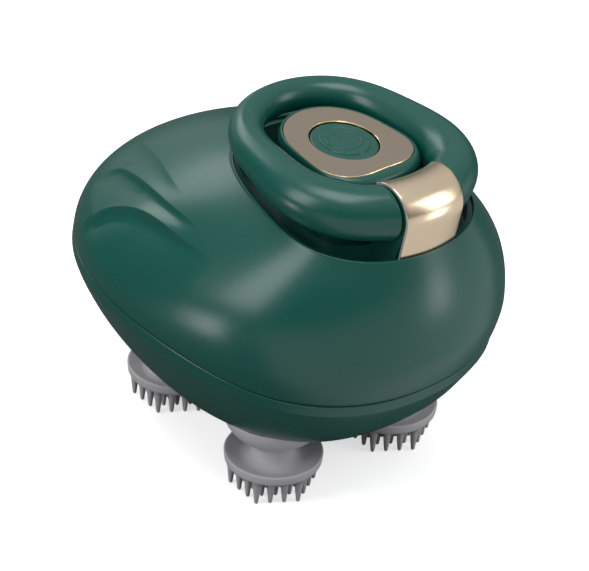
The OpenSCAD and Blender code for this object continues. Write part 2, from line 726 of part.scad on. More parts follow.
module handle_ring() {
    bore = pin_grip + touch;
    color(green) from_pole() difference() {
        capped_loft([for (i = [0:ring_sections]) ring_section(i)]);
        for (s = [-1, 1]) along_y(hinge_x, s * (ring_end_y + bore / 2 - 0.5) - bore / 2 - 0.5,
            hinge_z, pin_d + 2 * run_gap, bore + 1);
    }
}

module hinge_pin() {
    half = ring_end_y + pin_grip;
    color(steel) from_pole() along_y(hinge_x, -half, hinge_z, pin_d, 2 * half);
}

clasp_in_r = clasp_r - clasp_t;
clasp_from = 126;       // angle of the clasp's inner end round its bend
clasp_x = hinge_x + 1.7;    // centre of the clasp's bend at mid width
clasp_foot_z = rim_height(0) - 0.3;
bend_end = [clasp_x + clasp_r * cos(apron_lean), hinge_z - clasp_r * sin(apron_lean)];
apron_len = (bend_end[1] - clasp_foot_z) / cos(apron_lean);
tray_in_x = outline_pt(tray_plan, tray_x, 0, -rim_w - tray_wall - 0.25)[0];

// The clasp and its bracket bow outwards: their section turns about the pole
module bowed(section, w) {
    intersection() {
        rotate(-25) rotate_extrude(angle = 50, $fn = 180) polygon(section);
        translate([0, -w / 2, tray_floor_z - 1]) cube([2 * ring_r, w, 30]);
    }
}
function bend(r, a0, a1) = arc([clasp_x, hinge_z], r, a0, a1, 36);
function turned(p, a) = [p[0] * cos(a) - p[1] * sin(a), p[0] * sin(a) + p[1] * cos(a)];

clasp_section = concat(
    bend(clasp_r, -apron_lean, clasp_from), bend(clasp_in_r, clasp_from, -apron_lean),
    [for (r = [clasp_in_r, clasp_r]) [clasp_x, hinge_z] + turned([r, -apron_len], -apron_lean)]
);
module clasp_band() {
    color(champagne) from_pole() bowed(clasp_section, clasp_w);
}

bracket_w = clasp_w - 0.2;
shoulder_z = rim_height(0) - 0.2;
bracket_front = clasp_x + (clasp_in_r - 0.3) * cos(apron_lean);
bracket_section = concat(
    [[hinge_x - 2.4, tray_floor_z], [tray_in_x, tray_floor_z], [tray_in_x, shoulder_z],
        [bracket_front - (hinge_z - shoulder_z) * sin(apron_lean), shoulder_z + 1]],
    bend(clasp_in_r - 0.05, -apron_lean, 180),
    [[clasp_x - clasp_in_r + 0.05, hinge_z - 1], [hinge_x - 2.4, hinge_z - 5]]
);
module hinge_bracket() {
    color(dark_green) from_pole() difference() {
        bowed(bracket_section, bracket_w);
        along_y(hinge_x, -bracket_w, hinge_z, pin_d, 2 * bracket_w);
        for (p = bracket_screw_places) at(p, tray_floor_z - 1)
            cylinder(d = small_thread_d, h = pod_thread_h + 1.5);
    }
}

// ---- Screws and small hardware
module screw(head_d, head_h, shank_d, len) {
    rotate_extrude() polygon([
        [0, 0], [head_d / 2 - 0.3, 0], [head_d / 2, 0.3], [head_d / 2, head_h],
        [shank_d / 2, head_h], [shank_d / 2, head_h + len - 0.8], [0, head_h + len]
    ]);
}
module deck_screws() {
    color(steel) from_pole() for (p = post_places) at(p, deck_top + small_head_h)
        mirror([0, 0, 1]) screw(small_head_d, small_head_h, post_bore_d, deck_t + 6);
}
module cover_screws() {
    color(steel) from_pole() for (p = cover_screw_places)
        at(p, cover_head_z - screw_head_h)
            screw(screw_head_d, screw_head_h, thread_d, cover_t + 4);
}
module shell_screws() {
    color(steel) from_pole() for (i = [0:len(boss_angles) - 1])
        at(boss_places[i], boss_low - screw_head_h) screw(screw_head_d, screw_head_h, thread_d,
            seam_height(boss_angles[i]) - boss_low + boss_rise - 2);
}
module tray_screws() {
    color(steel) from_pole() {
        for (p = concat(pod_boss_places, bracket_screw_places))
            at(p, tray_bottom_z - small_head_h)
                screw(small_head_d, small_head_h, small_thread_d, tray_t + pod_thread_h - 0.1);
        for (p = board_post_places) at(p, switch_z + small_head_h)
            mirror([0, 0, 1]) screw(small_head_d, small_head_h, small_thread_d, board_t + 3.5);
    }
}

// ---- Deck, motor and gears
deck_plan = [body_r - wall - 6.4, -body_egg, body_oval, -body_tri];
motor_shaft_d = 2;
motor_hub_d = 6.4;
motor_hub_h = 1.5;
motor_screw_places = [for (s = [-1, 1]) [sun_x + s * 8, 0]];
motor_screw_d = 2;
board_x = -3;
board_stand_h = 4;
main_board_z = deck_top + board_stand_h;
stand_places = [for (x = [board_x + 3, board_x + board_len - 3], s = [-1, 1])
    [x, s * (board_w / 2 - 3)]];
stand_d = 4.4;

module gearbox_deck() {
    color(black) from_pole() difference() {
        union() {
            at([0, 0], deck_z) linear_extrude(deck_t) polygon(outline(deck_plan, 0, 0));
            at(idler_place, idler_top + 0.2) cylinder(d = 6, h = deck_z - idler_top);
            for (p = stand_places) at(p, deck_top - 0.5)
                cylinder(d = stand_d, h = board_stand_h + 0.5);
        }
        for (p = head_places) at(p, deck_z - 1) cylinder(d = spindle_d + 2 * run_gap, h = deck_t + 2);
        at(idler_place, idler_top - 1) cylinder(d = idler_axle_d, h = deck_t + 4);
        at(sun_place, deck_z - 1) cylinder(d = motor_hub_d, h = deck_t + 2);
        for (p = post_places) at(p, deck_z - 1) cylinder(d = post_bore_d, h = deck_t + 2);
        for (p = motor_screw_places) {
            at(p, deck_z - 1) cylinder(d = motor_screw_d + 0.2, h = deck_t + 2);
            at(p, deck_z - 1) cylinder(d = small_head_d + 0.4, h = small_head_h + 1.1);
        }
        for (p = boss_places) at(p, deck_z - 1) cylinder(d = boss_d + 1, h = deck_t + 2);
        for (p = stand_places) at(p, deck_top) cylinder(d = small_thread_d, h = 10);
    }
}

end_cap_h = 2.4;
module motor_can() {
    color(steel) from_pole() at(sun_place, deck_top) difference() {
        union() {
            cylinder(d = motor_d, h = motor_len);
            translate([0, 0, -motor_hub_h]) cylinder(d = motor_hub_d, h = motor_hub_h + 1);
        }
        translate([0, 0, -motor_hub_h - 1])
            cylinder(d = motor_shaft_d + 2 * run_gap, h = motor_hub_h + 15);
        for (s = [-1, 1]) translate([s * 8, 0, -1]) cylinder(d = motor_screw_d, h = 4);
    }
}
module motor_end_cap() {
    color(black) from_pole() at(sun_place, deck_top + motor_len) {
        cylinder(d = motor_d - 3, h = end_cap_h);
        for (s = [-1, 1]) translate([-1, s * 7 - 0.25, end_cap_h - 0.5]) cube([2, 0.5, 2.1]);
    }
}
module motor_screws() {
    color(steel) from_pole() for (p = motor_screw_places)
        at(p, deck_z + 0.1) screw(small_head_d, small_head_h, motor_screw_d, deck_t + 1);
}
module motor_shaft() {
    color(steel) from_pole() at(sun_place, idler_z - 0.1)
        cylinder(d = motor_shaft_d, h = deck_top - idler_z + 12);
}

sun_angle = 0;
idler_angle = mesh_angle(sun_teeth, sun_angle, idler_pinion_teeth, 90);
motor_angle = mesh_angle(idler_teeth, 0, motor_pinion_teeth, 270);
module motor_pinion() {
    color(nylon) from_pole() at(sun_place, idler_z + 0.1)
        gear(motor_pinion_teeth, motor_module, idler_w + 0.4, motor_shaft_d, motor_angle);
}
module idler_gear() {
    bore = idler_axle_d + 2 * run_gap;
    color(nylon) from_pole() at(idler_place, gear_z) {
        gear(idler_pinion_teeth, head_module, idler_z - gear_z + 0.5, bore, idler_angle);
        translate([0, 0, idler_z - gear_z]) gear(idler_teeth, motor_module, idler_w, bore, 0);
    }
}
module idler_axle() {
    color(steel) from_pole() at(idler_place, cover_top - axle_grip)
        cylinder(d = idler_axle_d, h = deck_top - cover_top + axle_grip);
}
module sun_gear() {
    color(nylon) from_pole() at(sun_place, gear_z)
        gear(sun_teeth, head_module, gear_w, sun_axle_d + 2 * run_gap, sun_angle);
}
clip_t = 0.6;
module sun_axle() {
    color(steel) from_pole() at(sun_place, cover_top - axle_grip)
        cylinder(d = sun_axle_d, h = gear_top + touch + clip_t - cover_top + axle_grip);
}
module sun_clip() {
    color(black) from_pole() at(sun_place, gear_top + touch)
        tube(sun_axle_d + 4, sun_axle_d, clip_t);
}

// ---- Spindle bearings
module spindle_bushes() {
    color(bronze) from_pole() for (p = head_places) at(p, bush_z) difference() {
        union() {
            cylinder(d = bush_d, h = bush_len);
            translate([0, 0, bush_len]) cylinder(d = bush_d + 3, h = flange_t);
        }
        translate([0, 0, -1]) cylinder(d = spindle_d + 2 * run_gap, h = bush_len + 4);
    }
}
module spindle_seals() {
    color(black) from_pole() for (p = head_places) at(p, pocket_z)
        tube(seal_d, spindle_d + 2 * run_gap, seal_h);
}
module thrust_washers() {
    color(bronze) from_pole() {
        for (p = head_places) at(p, washer_z) tube(bush_d + 3, spindle_d + 2 * run_gap, washer_t);
    }
}

// ---- Battery and boards
cell_x = sun_x - motor_d / 2 - 3 - cell_len;
cell_floor = 1.2;
cell_gap = 0.1;
cell_z = deck_top + cell_floor + cell_gap;
module rounded_block(len, w, h, r) {
    corners = [[r, -w / 2 + r, 180], [len - r, -w / 2 + r, 270], [len - r, w / 2 - r, 0],
        [r, w / 2 - r, 90]];
    linear_extrude(h) polygon([for (c = corners, i = [0:4])
        [c[0], c[1]] + polar(r, c[2] + 22.5 * i)]);
}
module battery_cell() {
    color(cell_blue) from_pole() at([cell_x, 0], cell_z) rounded_block(cell_len, cell_w, cell_h, 2);
}
module battery_tray() {
    side = 1.2;
    color(black) from_pole() difference() {
        at([cell_x - side - cell_gap, -cell_w / 2 - side - cell_gap], deck_top)
            cube([cell_len + 2 * (side + cell_gap), cell_w + 2 * (side + cell_gap), 6]);
        at([cell_x - cell_gap, -cell_w / 2 - cell_gap], deck_top + cell_floor)
            cube([cell_len + 2 * cell_gap, cell_w + 2 * cell_gap, 10]);
        at([cell_x + cell_len / 2, -cell_w], deck_top + 3.5) cube([8, 2 * cell_w, 8]);
        at(post_places[1], deck_top - 1) cylinder(d = small_head_d + 0.4, h = cell_floor + 2);
    }
}
module main_board() {
    color(board_green) from_pole() difference() {
        at([board_x, -board_w / 2], main_board_z) cube([board_len, board_w, board_t]);
        for (p = stand_places) at(p, main_board_z - 1)
            cylinder(d = small_screw_d + 0.2, h = board_t + 2);
    }
}
module board_parts() {
    z = main_board_z + board_t;
    // place, length and width as shares of the board, and height
    chips = [[0.3, -0.15, 0.26, 0.23, 1.6], [0.67, 0.12, 0.19, 0.19, 2.6],
        [0.3, 0.27, 0.22, 0.15, 4.5], [0.56, -0.42, 0.24, 0.15, 4.5]];
    color(black) from_pole() {
        for (c = chips) at([board_x + c[0] * board_len, c[1] * board_w], z)
            cube([c[2] * board_len, c[3] * board_w, c[4]]);
        at([board_x + 0.48 * board_len, 0.19 * board_w], z)
            cylinder(d = 0.12 * board_len, h = 5.5);
        for (p = stand_places) at(p, z + small_head_h) mirror([0, 0, 1])
            screw(small_head_d, small_head_h, small_thread_d, board_t + 3);
    }
}
module charge_contacts() {
    color(champagne) from_pole() for (p = contact_places) at(p, base_z + 0.1)
        cylinder(d = contact_d, h = contact_top - base_z);
}
module contact_holder() {
    color(black) from_pole() difference() {
        at([contact_x - holder_len / 2, -holder_w / 2], cover_top)
            cube([holder_len, holder_w, holder_h]);
        for (p = contact_places) at(p, cover_top - 1) cylinder(d = contact_d, h = 6);
    }
}

// ---- Massage heads
lip_r = lip_h / 2;       // rounding under the disc
lip_edge = 0.5;         // rounding of the lip's top edge
core_flange_r = 5.2;
core_neck_r = 3.6;
core_cup_r = 8.5;
core_hub_r = 4.6;
core_z = tooth_len + 0.6;
waist_h = tooth_len + 4;        // height of the waist above the tooth tips
bowl_r = 2.7;                   // radius of the fillet between waist and dish
tooth_pitch = tooth_reach / tooth_rings;
function bezier(p, t) = pow(1 - t, 3) * p[0] + 3 * t * pow(1 - t, 2) * p[1]
    + 3 * t * t * (1 - t) * p[2] + t * t * t * p[3];
function arc(c, r, a0, a1, n) = [for (i = [0:n]) c + polar(r, mix(a0, a1, i / n))];
waist_c = [neck_r + bowl_r, waist_h];
skirt_from = waist_c + polar(bowl_r, 135);
skirt_curve = [skirt_from, skirt_from + [3.3, 2.8], [skirt_r - 0.4, skirt_top - 4.8],
    [skirt_r, skirt_top - 0.5]];
head_profile = concat(
    [[0, tooth_len]],
    arc([disc_r - lip_r, tooth_len + lip_r], lip_r, -90, 0, 5),
    arc([disc_r - lip_edge, tooth_len + lip_h - lip_edge], lip_edge, 0, 125, 5),
    [[disc_r - 1.9, tooth_len + lip_h - 0.85], [disc_r - 3.1, tooth_len + lip_h - 1.35]],
    arc(waist_c, bowl_r, 285, 135, 10),
    [for (i = [1:9]) bezier(skirt_curve, i / 9)],
    [[skirt_r, skirt_top], [0, skirt_top]]
);
core_profile = [
    [0, core_z], [core_flange_r, core_z], [core_flange_r, core_z + 0.9],
    [core_neck_r, core_z + 1.7], [core_neck_r, skirt_top - 5.2],
    [core_cup_r, skirt_top - 4.2], [core_cup_r, skirt_top - 2.4],
    [core_hub_r, skirt_top - 1.8], [core_hub_r, skirt_top], [0, skirt_top]
];
tooth_profile = [
    [0, 0], [tip_r * 0.45, 0], [tip_r * 0.82, 0.16], [tip_r, 0.5],
    [tooth_r * 0.92, tooth_len - 0.7], [tooth_r * 1.15, tooth_len], [tooth_r, tooth_len + 0.3],
    [0, tooth_len + 0.3]
];
// Hexagonal lattice of teeth with a corner towards +X
function tooth_places(rings) = [
    for (q = [-rings:rings], r = [max(-rings, -q - rings):min(rings, -q + rings)])
    tooth_pitch * [q + r / 2, r * sqrt(3) / 2]
];
spindle_low = core_z + 2.2;
flat_h = 8;             // height of the spindle's driving flat
flat_cut = 0.6;

module spindle_shape(d) {
    difference() {
        at([0, 0], spindle_low) cylinder(d = d, h = deck_top - 0.4 - spindle_low);
        translate([d / 2 - flat_cut, -d, spindle_low - 1]) cube([d, 2 * d, flat_h + 1]);
    }
}
module massage_head(place) {
    color(grey) from_pole() at(place, 0) {
        difference() {
            rotate_extrude() polygon(head_profile);
            rotate_extrude() polygon(core_profile);
        }
        for (p = tooth_places(tooth_rings)) at(p, 0) rotate_extrude($fn = 16) polygon(tooth_profile);
    }
}
module head_core(place) {
    color(nylon) from_pole() at(place, 0) difference() {
        rotate_extrude() polygon(core_profile);
        spindle_shape(spindle_d);
    }
}
module spindle(place) {
    color(steel) from_pole() at(place, 0) spindle_shape(spindle_d);
}
module head_gear(place) {
    color(nylon) from_pole() at(place, gear_z) gear(head_teeth, head_module, gear_w, spindle_d,
        mesh_angle(sun_teeth, sun_angle, head_teeth, direction(sun_place, place)));
}

upper_shell();
lower_shell();
seam_gasket();
bottom_cover();
cover_screws();
shell_screws();
handle_tray();
control_pod();
tray_screws();
trim_plate();
power_button();
switch_plunger();
tact_switch();
switch_board();
handle_ring();
clasp_band();
hinge_bracket();
hinge_pin();
gearbox_deck();
deck_screws();
motor_can();
motor_end_cap();
motor_screws();
motor_shaft();
motor_pinion();
idler_gear();
idler_axle();
sun_gear();
sun_axle();
sun_clip();
battery_cell();
battery_tray();
main_board();
board_parts();
charge_contacts();
contact_holder();
spindle_bushes();
spindle_seals();
thrust_washers();
massage_head(heel_left);  // head_heel_left
massage_head(heel_right);  // head_heel_right
massage_head(nose_left);  // head_nose_left
massage_head(nose_right);  // head_nose_right
head_core(heel_left);  // core_heel_left
head_core(heel_right);  // core_heel_right
head_core(nose_left);  // core_nose_left
head_core(nose_right);  // core_nose_right
spindle(heel_left);  // spindle_heel_left
spindle(heel_right);  // spindle_heel_right
spindle(nose_left);  // spindle_nose_left
spindle(nose_right);  // spindle_nose_right
head_gear(heel_left);  // gear_heel_left
head_gear(heel_right);  // gear_heel_right
head_gear(nose_left);  // gear_nose_left
head_gear(nose_right);  // gear_nose_right
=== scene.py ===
"""Cordless scalp massager: its visible pieces, finishes, camera and light."""

import bmesh
import bpy
import numpy as np
from mathutils import Matrix, Vector


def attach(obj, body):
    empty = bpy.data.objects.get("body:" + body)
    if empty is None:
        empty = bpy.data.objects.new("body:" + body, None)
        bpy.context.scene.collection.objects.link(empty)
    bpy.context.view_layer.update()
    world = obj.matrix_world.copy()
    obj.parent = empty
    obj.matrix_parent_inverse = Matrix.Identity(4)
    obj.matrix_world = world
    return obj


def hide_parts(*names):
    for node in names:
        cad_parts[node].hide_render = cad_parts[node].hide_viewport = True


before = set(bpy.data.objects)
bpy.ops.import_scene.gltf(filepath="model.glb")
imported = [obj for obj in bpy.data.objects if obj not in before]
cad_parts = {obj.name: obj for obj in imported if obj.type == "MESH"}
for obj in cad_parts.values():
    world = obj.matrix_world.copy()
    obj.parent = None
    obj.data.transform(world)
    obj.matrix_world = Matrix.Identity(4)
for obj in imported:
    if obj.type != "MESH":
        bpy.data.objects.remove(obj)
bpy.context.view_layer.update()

collection = bpy.context.scene.collection

# ---- Sizes in millimetres. X and Y are counted from the pole of the outlines. An outline's
# radius, like the height of a tilted line, is c0 + c1 cos a + c2 cos 2a ... of its angle a.
POLE_X = 19.45
BODY = (49.5, -16.4, 7.5, -2.9)
BASE = (32.8, -12.1, 2.5, -1.4)
TRAY, TRAY_X = (27.4, -3.32, 3.15, -1.85), 7.3
PLATE, PLATE_X = (13.95, -4.2, 1.3, -1.5), 5.6
POD = (15.45, -3.4, 2.05, -1.4)
RING, RING_Z, RING_SLOPE = (22.9, 1.7, 2.75, -0.2, -0.4), 85.25, 0.06
TUBE, TUBE_SWELL = (5.1, 5.2), 1.35    # half width and height, and their growth to the heel
WAIST, RIM, SEAM = (45.8, 3.0), (76.5, -2.25), (42.7, -3.7)
DOME_REACH, DOME_ROUND = 0.916, 1.04   # exponents of the body's section above the waist
BELLY_REACH, BELLY_ROUND = 1.34, 0.7   # and below it
BASE_Z, COVER_TOP, TRAY_FLOOR = 20.9, 24.4, 70.5
PLATE_Z, PLATE_T = 87.4, 1.2
WALL, SEAM_GAP, SEAM_LIP, RIM_W = 2.2, 0.3, 0.15, 0.6
POD_WALL, POD_ROUND = 1.6, 2.2
BUTTON_X, BUTTON, BUTTON_HOLE = 0.6, (8.8, 7.2), (9.05, 7.45)
MARK_R, STROKE_W, STROKE_H = 4.0, 0.6, 0.15
HINGE_X, HINGE_Z, PIN_HOLE_R = 25.1178, 83.7429, 1.54
RING_FROM, RING_END = np.radians(18.4912), 8.4   # where the tube starts, and its cut ends' Y
CLASP_X, CLASP_R, CLASP_T, CLASP_W = HINGE_X + 1.7, 6.95, 0.8, 16.0
APRON_LEAN, CLASP_FROM, CLASP_FOOT = 11.0, 126.0, 73.95
HEADS = {
    "heel_left": (2.88, -17.9), "heel_right": (2.88, 17.9),
    "nose_left": (-39.8818, -15.6), "nose_right": (-39.8818, 15.6),
}
POCKET_R, POCKET_TOP, BORE_R = 13.0, 22.2, 6.0
COVER_SCREWS, SCREW_INSET = (0, 122, 180, 238), 5.2   # their angles, and how far in they sit
SCREW_SEAT, RECESS_R = 23.4, 2.6
CONTACTS, CONTACT_HOLE_R = ((14.912, -3.2), (14.912, 3.2)), 1.6
TAU = 2 * np.pi


# ---- Outlines and the body surface
def turn(count):
    """That many angles, once round."""
    return np.arange(count) * TAU / count


def lobed(plan, a):
    return sum(c * np.cos(i * a) for i, c in enumerate(plan))


def on_outline(plan, x, a, grow=0.0):
    r = lobed(plan, a) + grow
    return np.stack([x + r * np.cos(a), r * np.sin(a)], -1)


def oval(t, half_x, half_y):
    """An oval round the button's centre."""
    return np.column_stack([BUTTON_X + half_x * np.cos(t), half_y * np.sin(t)])


def level(xy, z):
    """The points lifted to the height z, which is one number or one for each point."""
    return np.column_stack([xy, np.broadcast_to(z, len(xy))])


def waist_height(a):
    return lobed(WAIST, a)


def rim_height(a):
    return lobed(RIM, a)


def seam_height(a):
    return lobed(SEAM, a)


def body_point(a, z):
    """The body's surface at the angle a and the height z, blended from the widest outline at
    the waist to the tray's above and the base's below."""
    a, z = np.broadcast_arrays(np.asarray(a, float), np.asarray(z, float))
    up = z >= waist_height(a)
    end = np.where(up, rim_height(a), BASE_Z)
    reach = np.clip((z - waist_height(a)) / (end - waist_height(a)), 0, 1)
    s = reach ** np.where(up, 1 / DOME_REACH, 1 / BELLY_REACH)
    w = np.maximum(0, 1 - s * s) ** np.where(up, DOME_ROUND, BELLY_ROUND)
    inner = np.where(up[..., None], on_outline(TRAY, TRAY_X, a), on_outline(BASE, 0, a))
    xy = inner + (on_outline(BODY, 0, a) - inner) * w[..., None]
    return np.concatenate([xy, z[..., None]], -1)


def body_normal(a, z):
    high = np.minimum(z + 0.4, rim_height(a) - 0.05)
    low = np.maximum(high - 0.8, BASE_Z)
    n = np.cross(body_point(a + 0.005, z) - body_point(a - 0.005, z),
                 body_point(a, high) - body_point(a, low))
    return n / np.linalg.norm(n, axis=-1, keepdims=True)


def inset_place(a, z, inset):
    """The place that lies inset from the body's surface, towards the pole."""
    p = body_point(a, z)
    return np.array([p[0] - inset * np.cos(a), p[1] - inset * np.sin(a)])


def smooth(t):
    t = np.clip(t, 0, 1)
    return t * t * (3 - 2 * t)


# ---- Meshes
def new_piece(name, verts, faces, material, soft=True):
    mesh = bpy.data.meshes.new(name)
    points = np.asarray(verts, float) + (POLE_X, 0, 0)
    mesh.from_pydata((points * 0.001).tolist(), [], [tuple(int(i) for i in f) for f in faces])
    mesh.polygons.foreach_set("use_smooth", [soft] * len(mesh.polygons))
    mesh.materials.append(material)
    mesh.update()
    piece = bpy.data.objects.new(name, mesh)
    collection.objects.link(piece)
    return piece


def strip_faces(rows, columns, closed_rows, closed_columns=True):
    r = np.arange(rows if closed_rows else rows - 1)
    c = np.arange(columns if closed_columns else columns - 1)
    r, c = np.meshgrid(r, c, indexing="ij")
    r2, c2 = (r + 1) % rows, (c + 1) % columns
    quads = np.stack([r * columns + c, r * columns + c2, r2 * columns + c2, r2 * columns + c], -1)
    return quads.reshape(-1, 4)


def loft(rings, wrapped=False, capped=False):
    """Rings of equal size joined in order. The first ring is the upper or inner one."""
    rings = np.asarray(rings, float)
    rows, columns = rings.shape[:2]
    verts = rings.reshape(-1, 3)
    faces = [tuple(f) for f in strip_faces(rows, columns, wrapped)]
    if capped:
        faces.append(tuple(range(columns - 1, -1, -1)))
        faces.append(tuple(range((rows - 1) * columns, rows * columns)))
    return verts, faces


def face_outwards(piece):
    work = bmesh.new()
    work.from_mesh(piece.data)
    bmesh.ops.remove_doubles(work, verts=work.verts, dist=1e-7)
    bmesh.ops.recalc_face_normals(work, faces=work.faces)
    if work.calc_volume(signed=True) < 0:
        bmesh.ops.reverse_faces(work, faces=work.faces)
    work.to_mesh(piece.data)
    work.free()
    return piece


def sharpen(piece, degrees):
    """Marks edges sharper than the angle, so that flats and rounds keep their own shading."""
    work = bmesh.new()
    work.from_mesh(piece.data)
    limit = np.radians(degrees)
    for edge in work.edges:
        if len(edge.link_faces) == 2 and edge.calc_face_angle(0) > limit:
            edge.smooth = False
    work.to_mesh(piece.data)
    work.free()
    return piece


def cut(piece, cutter):
    """Takes the cutter out of the piece and removes the cutter."""
    face_outwards(cutter)
    modifier = piece.modifiers.new("cut", "BOOLEAN")
    modifier.operation, modifier.solver, modifier.object = "DIFFERENCE", "EXACT", cutter
    apply_modifiers(piece)
    bpy.data.objects.remove(cutter)
    return piece


def apply_modifiers(piece):
    bpy.context.view_layer.update()
    graph = bpy.context.evaluated_depsgraph_get()
    mesh = bpy.data.meshes.new_from_object(piece.evaluated_get(graph))
    old = piece.data
    piece.modifiers.clear()
    piece.data = mesh
    bpy.data.meshes.remove(old)
    return piece


def lathe(profile, place, sides):
    """Rings of a profile of (radius, height) turned round the axis at place."""
    t = turn(sides)
    r, z = np.asarray(profile, float).T
    return np.stack([place[0] + r[:, None] * np.cos(t), place[1] + r[:, None] * np.sin(t),
                     np.repeat(z[:, None], sides, 1)], -1)


def rod(place, z0, z1, r, sides=64):
    return loft(lathe([(r, z1), (r, z0)], place, sides), capped=True)


# ---- Finishes
def srgb(r, g, b):
    return tuple(c / 12.92 if c <= 0.04045 else ((c + 0.055) / 1.055) ** 2.4 for c in (r, g, b))


def set_sockets(node, **values):
    """Sets the node's sockets. An underscore in a name stands for a space."""
    for socket, value in values.items():
        node.inputs[socket.replace("_", " ")].default_value = value
    return node


TINT_SIZE = 14.0                       # mm between the paler and the darker places of a colour


def finish(name, colour, roughness, metallic=0.0, grain=0.0, grain_size=0.25, tint=0.06,
           brush=None, spread=0.06, **sockets):
    """A shader with a slightly uneven colour and roughness and a fine surface grain.
    Sizes are in millimetres. brush stretches the grain by (x, y, z)."""
    material = bpy.data.materials.new(name)
    material.use_nodes = True
    tree = material.node_tree
    nodes, link = tree.nodes, tree.links.new
    shader = set_sockets(nodes["Principled BSDF"], Metallic=metallic, **sockets)
    where = nodes.new("ShaderNodeTexCoord").outputs["Object"]
    cloud = set_sockets(nodes.new("ShaderNodeTexNoise"), Scale=1000 / TINT_SIZE, Detail=3)
    link(where, cloud.inputs["Vector"])
    ramp = nodes.new("ShaderNodeMix")
    ramp.data_type = "RGBA"
    base = srgb(*colour)
    ramp.inputs["A"].default_value = (*[c * (1 - tint) for c in base], 1)
    ramp.inputs["B"].default_value = (*[min(1, c * (1 + tint)) for c in base], 1)
    link(cloud.outputs["Fac"], ramp.inputs["Factor"])
    link(ramp.outputs["Result"], shader.inputs["Base Color"])
    fine = set_sockets(nodes.new("ShaderNodeTexNoise"), Scale=1000 / grain_size, Detail=2)
    if brush:
        stretch = set_sockets(nodes.new("ShaderNodeMapping"), Scale=brush)
        link(where, stretch.inputs["Vector"])
        link(stretch.outputs["Vector"], fine.inputs["Vector"])
    else:
        link(where, fine.inputs["Vector"])
    rough = set_sockets(nodes.new("ShaderNodeMapRange"), To_Min=max(0.02, roughness - spread),
                        To_Max=min(1, roughness + spread))
    link(fine.outputs["Fac"], rough.inputs["Value"])
    link(rough.outputs["Result"], shader.inputs["Roughness"])
    if grain:
        bump = set_sockets(nodes.new("ShaderNodeBump"), Strength=1.0, Distance=grain * 0.001)
        link(fine.outputs["Fac"], bump.inputs["Height"])
        link(bump.outputs["Normal"], shader.inputs["Normal"])
    return material


emerald = finish("emerald_satin", (0.04, 0.305, 0.266), 0.28, grain=0.0004, grain_size=0.5,
                 tint=0.02, spread=0.02)
deep_green = finish("deep_green_satin", (0.05, 0.31, 0.275), 0.38, grain=0.001, grain_size=0.5,
                    tint=0.04)
taupe = finish("taupe_anodised", (0.50, 0.455, 0.40), 0.5, metallic=0.2, grain=0.001,
               grain_size=0.12, tint=0.02)
gold_edge = finish("polished_gold_edge", (0.95, 0.84, 0.64), 0.22, metallic=1.0, tint=0.02)
champagne = finish("brushed_champagne", (0.88, 0.80, 0.69), 0.24, metallic=1.0, grain=0.0004,
                   grain_size=0.12, brush=(1, 0.04, 1), tint=0.02, spread=0.03)
champagne_edge = finish("champagne_cut_edge", (0.80, 0.78, 0.76), 0.35, metallic=0.6, tint=0.03)
silicone = finish("grey_silicone", (0.76, 0.76, 0.765), 0.55, grain=0.006, grain_size=0.4,
                  tint=0.03, Subsurface_Weight=0.12, Subsurface_Scale=0.002)
black_rubber = finish("black_rubber", (0.06, 0.07, 0.07), 0.7, grain=0.01, grain_size=0.3)
black_plastic = finish("black_moulding", (0.11, 0.11, 0.12), 0.5, grain=0.01, grain_size=0.3)
steel = finish("ground_steel", (0.74, 0.75, 0.77), 0.28, metallic=1.0, grain=0.002,
               grain_size=0.1, brush=(1, 1, 0.05))
nylon = finish("white_nylon", (0.91, 0.90, 0.86), 0.5, grain=0.004, grain_size=0.4,
               Subsurface_Weight=0.1, Subsurface_Scale=0.001)
bronze = finish("sintered_bronze", (0.72, 0.54, 0.34), 0.45, metallic=1.0, grain=0.01,
                grain_size=0.15)
gold = finish("gold_plate", (0.93, 0.78, 0.48), 0.18, metallic=1.0, tint=0.02)
board = finish("solder_mask_green", (0.10, 0.36, 0.20), 0.3, grain=0.003, grain_size=0.6,
               Coat_Weight=0.4, Coat_Roughness=0.15)
film = finish("blue_cell_film", (0.22, 0.38, 0.62), 0.25, tint=0.05, Coat_Weight=0.5,
              Coat_Roughness=0.1)


# ---- Upper shell with its waves. Each crest is a fold: under it the surface drops in at once,
# then swells out again to the next crest. A crest starts near the nose, climbs to its top height
# and fades out before its end. Starts, ends, reaches and fades are degrees off the nose.
WAVE_TOPS, WAVE_STARTS, WAVE_ENDS = (71.7, 69.8, 66.6), (14.1, 24.0, 37.7), (50.0, 68.0, 84.0)
WAVE_FALLS, WAVE_REACHES, WAVE_BENDS = (7.8, 7.1, 8.4), (8.9, 10.0, 5.0), (0.45, 1.6, 0.9)
WAVE_DEPTHS, WAVE_FADES, WAVE_FOLDS = (1.2, 2.0, 2.0), (22.0, 22.0, 34.0), (1.8, 1.5, 1.6)
BEND_END = 0.35                        # the bend at a start is cut off this near to it
NOSE_FADE = (-0.5, 3.5)                # the fold fades in from here, over this many degrees
SEAM_FADE = (3.2, 7.0)                 # and out down to this height above the seam, over these mm
ALONG_DEGREE, ALONG_HEIGHT = 0.95, 1.8     # mm on the surface to a degree and to a mm of height
FOLD_ROWS = (0, 0.12, 0.26, 0.44, 0.68, 1.0, 1.45, 2.1, 3.0)   # mm under a crest


def off_nose(a):
    return np.abs(180 - np.degrees(a) % 360)


def shell_foot(a):
    return seam_height(a) + SEAM_GAP / 2


def crest_row(k, a, s):
    """Height of the line that runs s mm under crest k."""
    far = np.maximum(off_nose(a) - WAVE_STARTS[k] - s / ALONG_DEGREE, BEND_END)
    return (WAVE_TOPS[k] - s / ALONG_HEIGHT - WAVE_FALLS[k] * np.exp(-far / WAVE_REACHES[k])
            - WAVE_BENDS[k] / far)


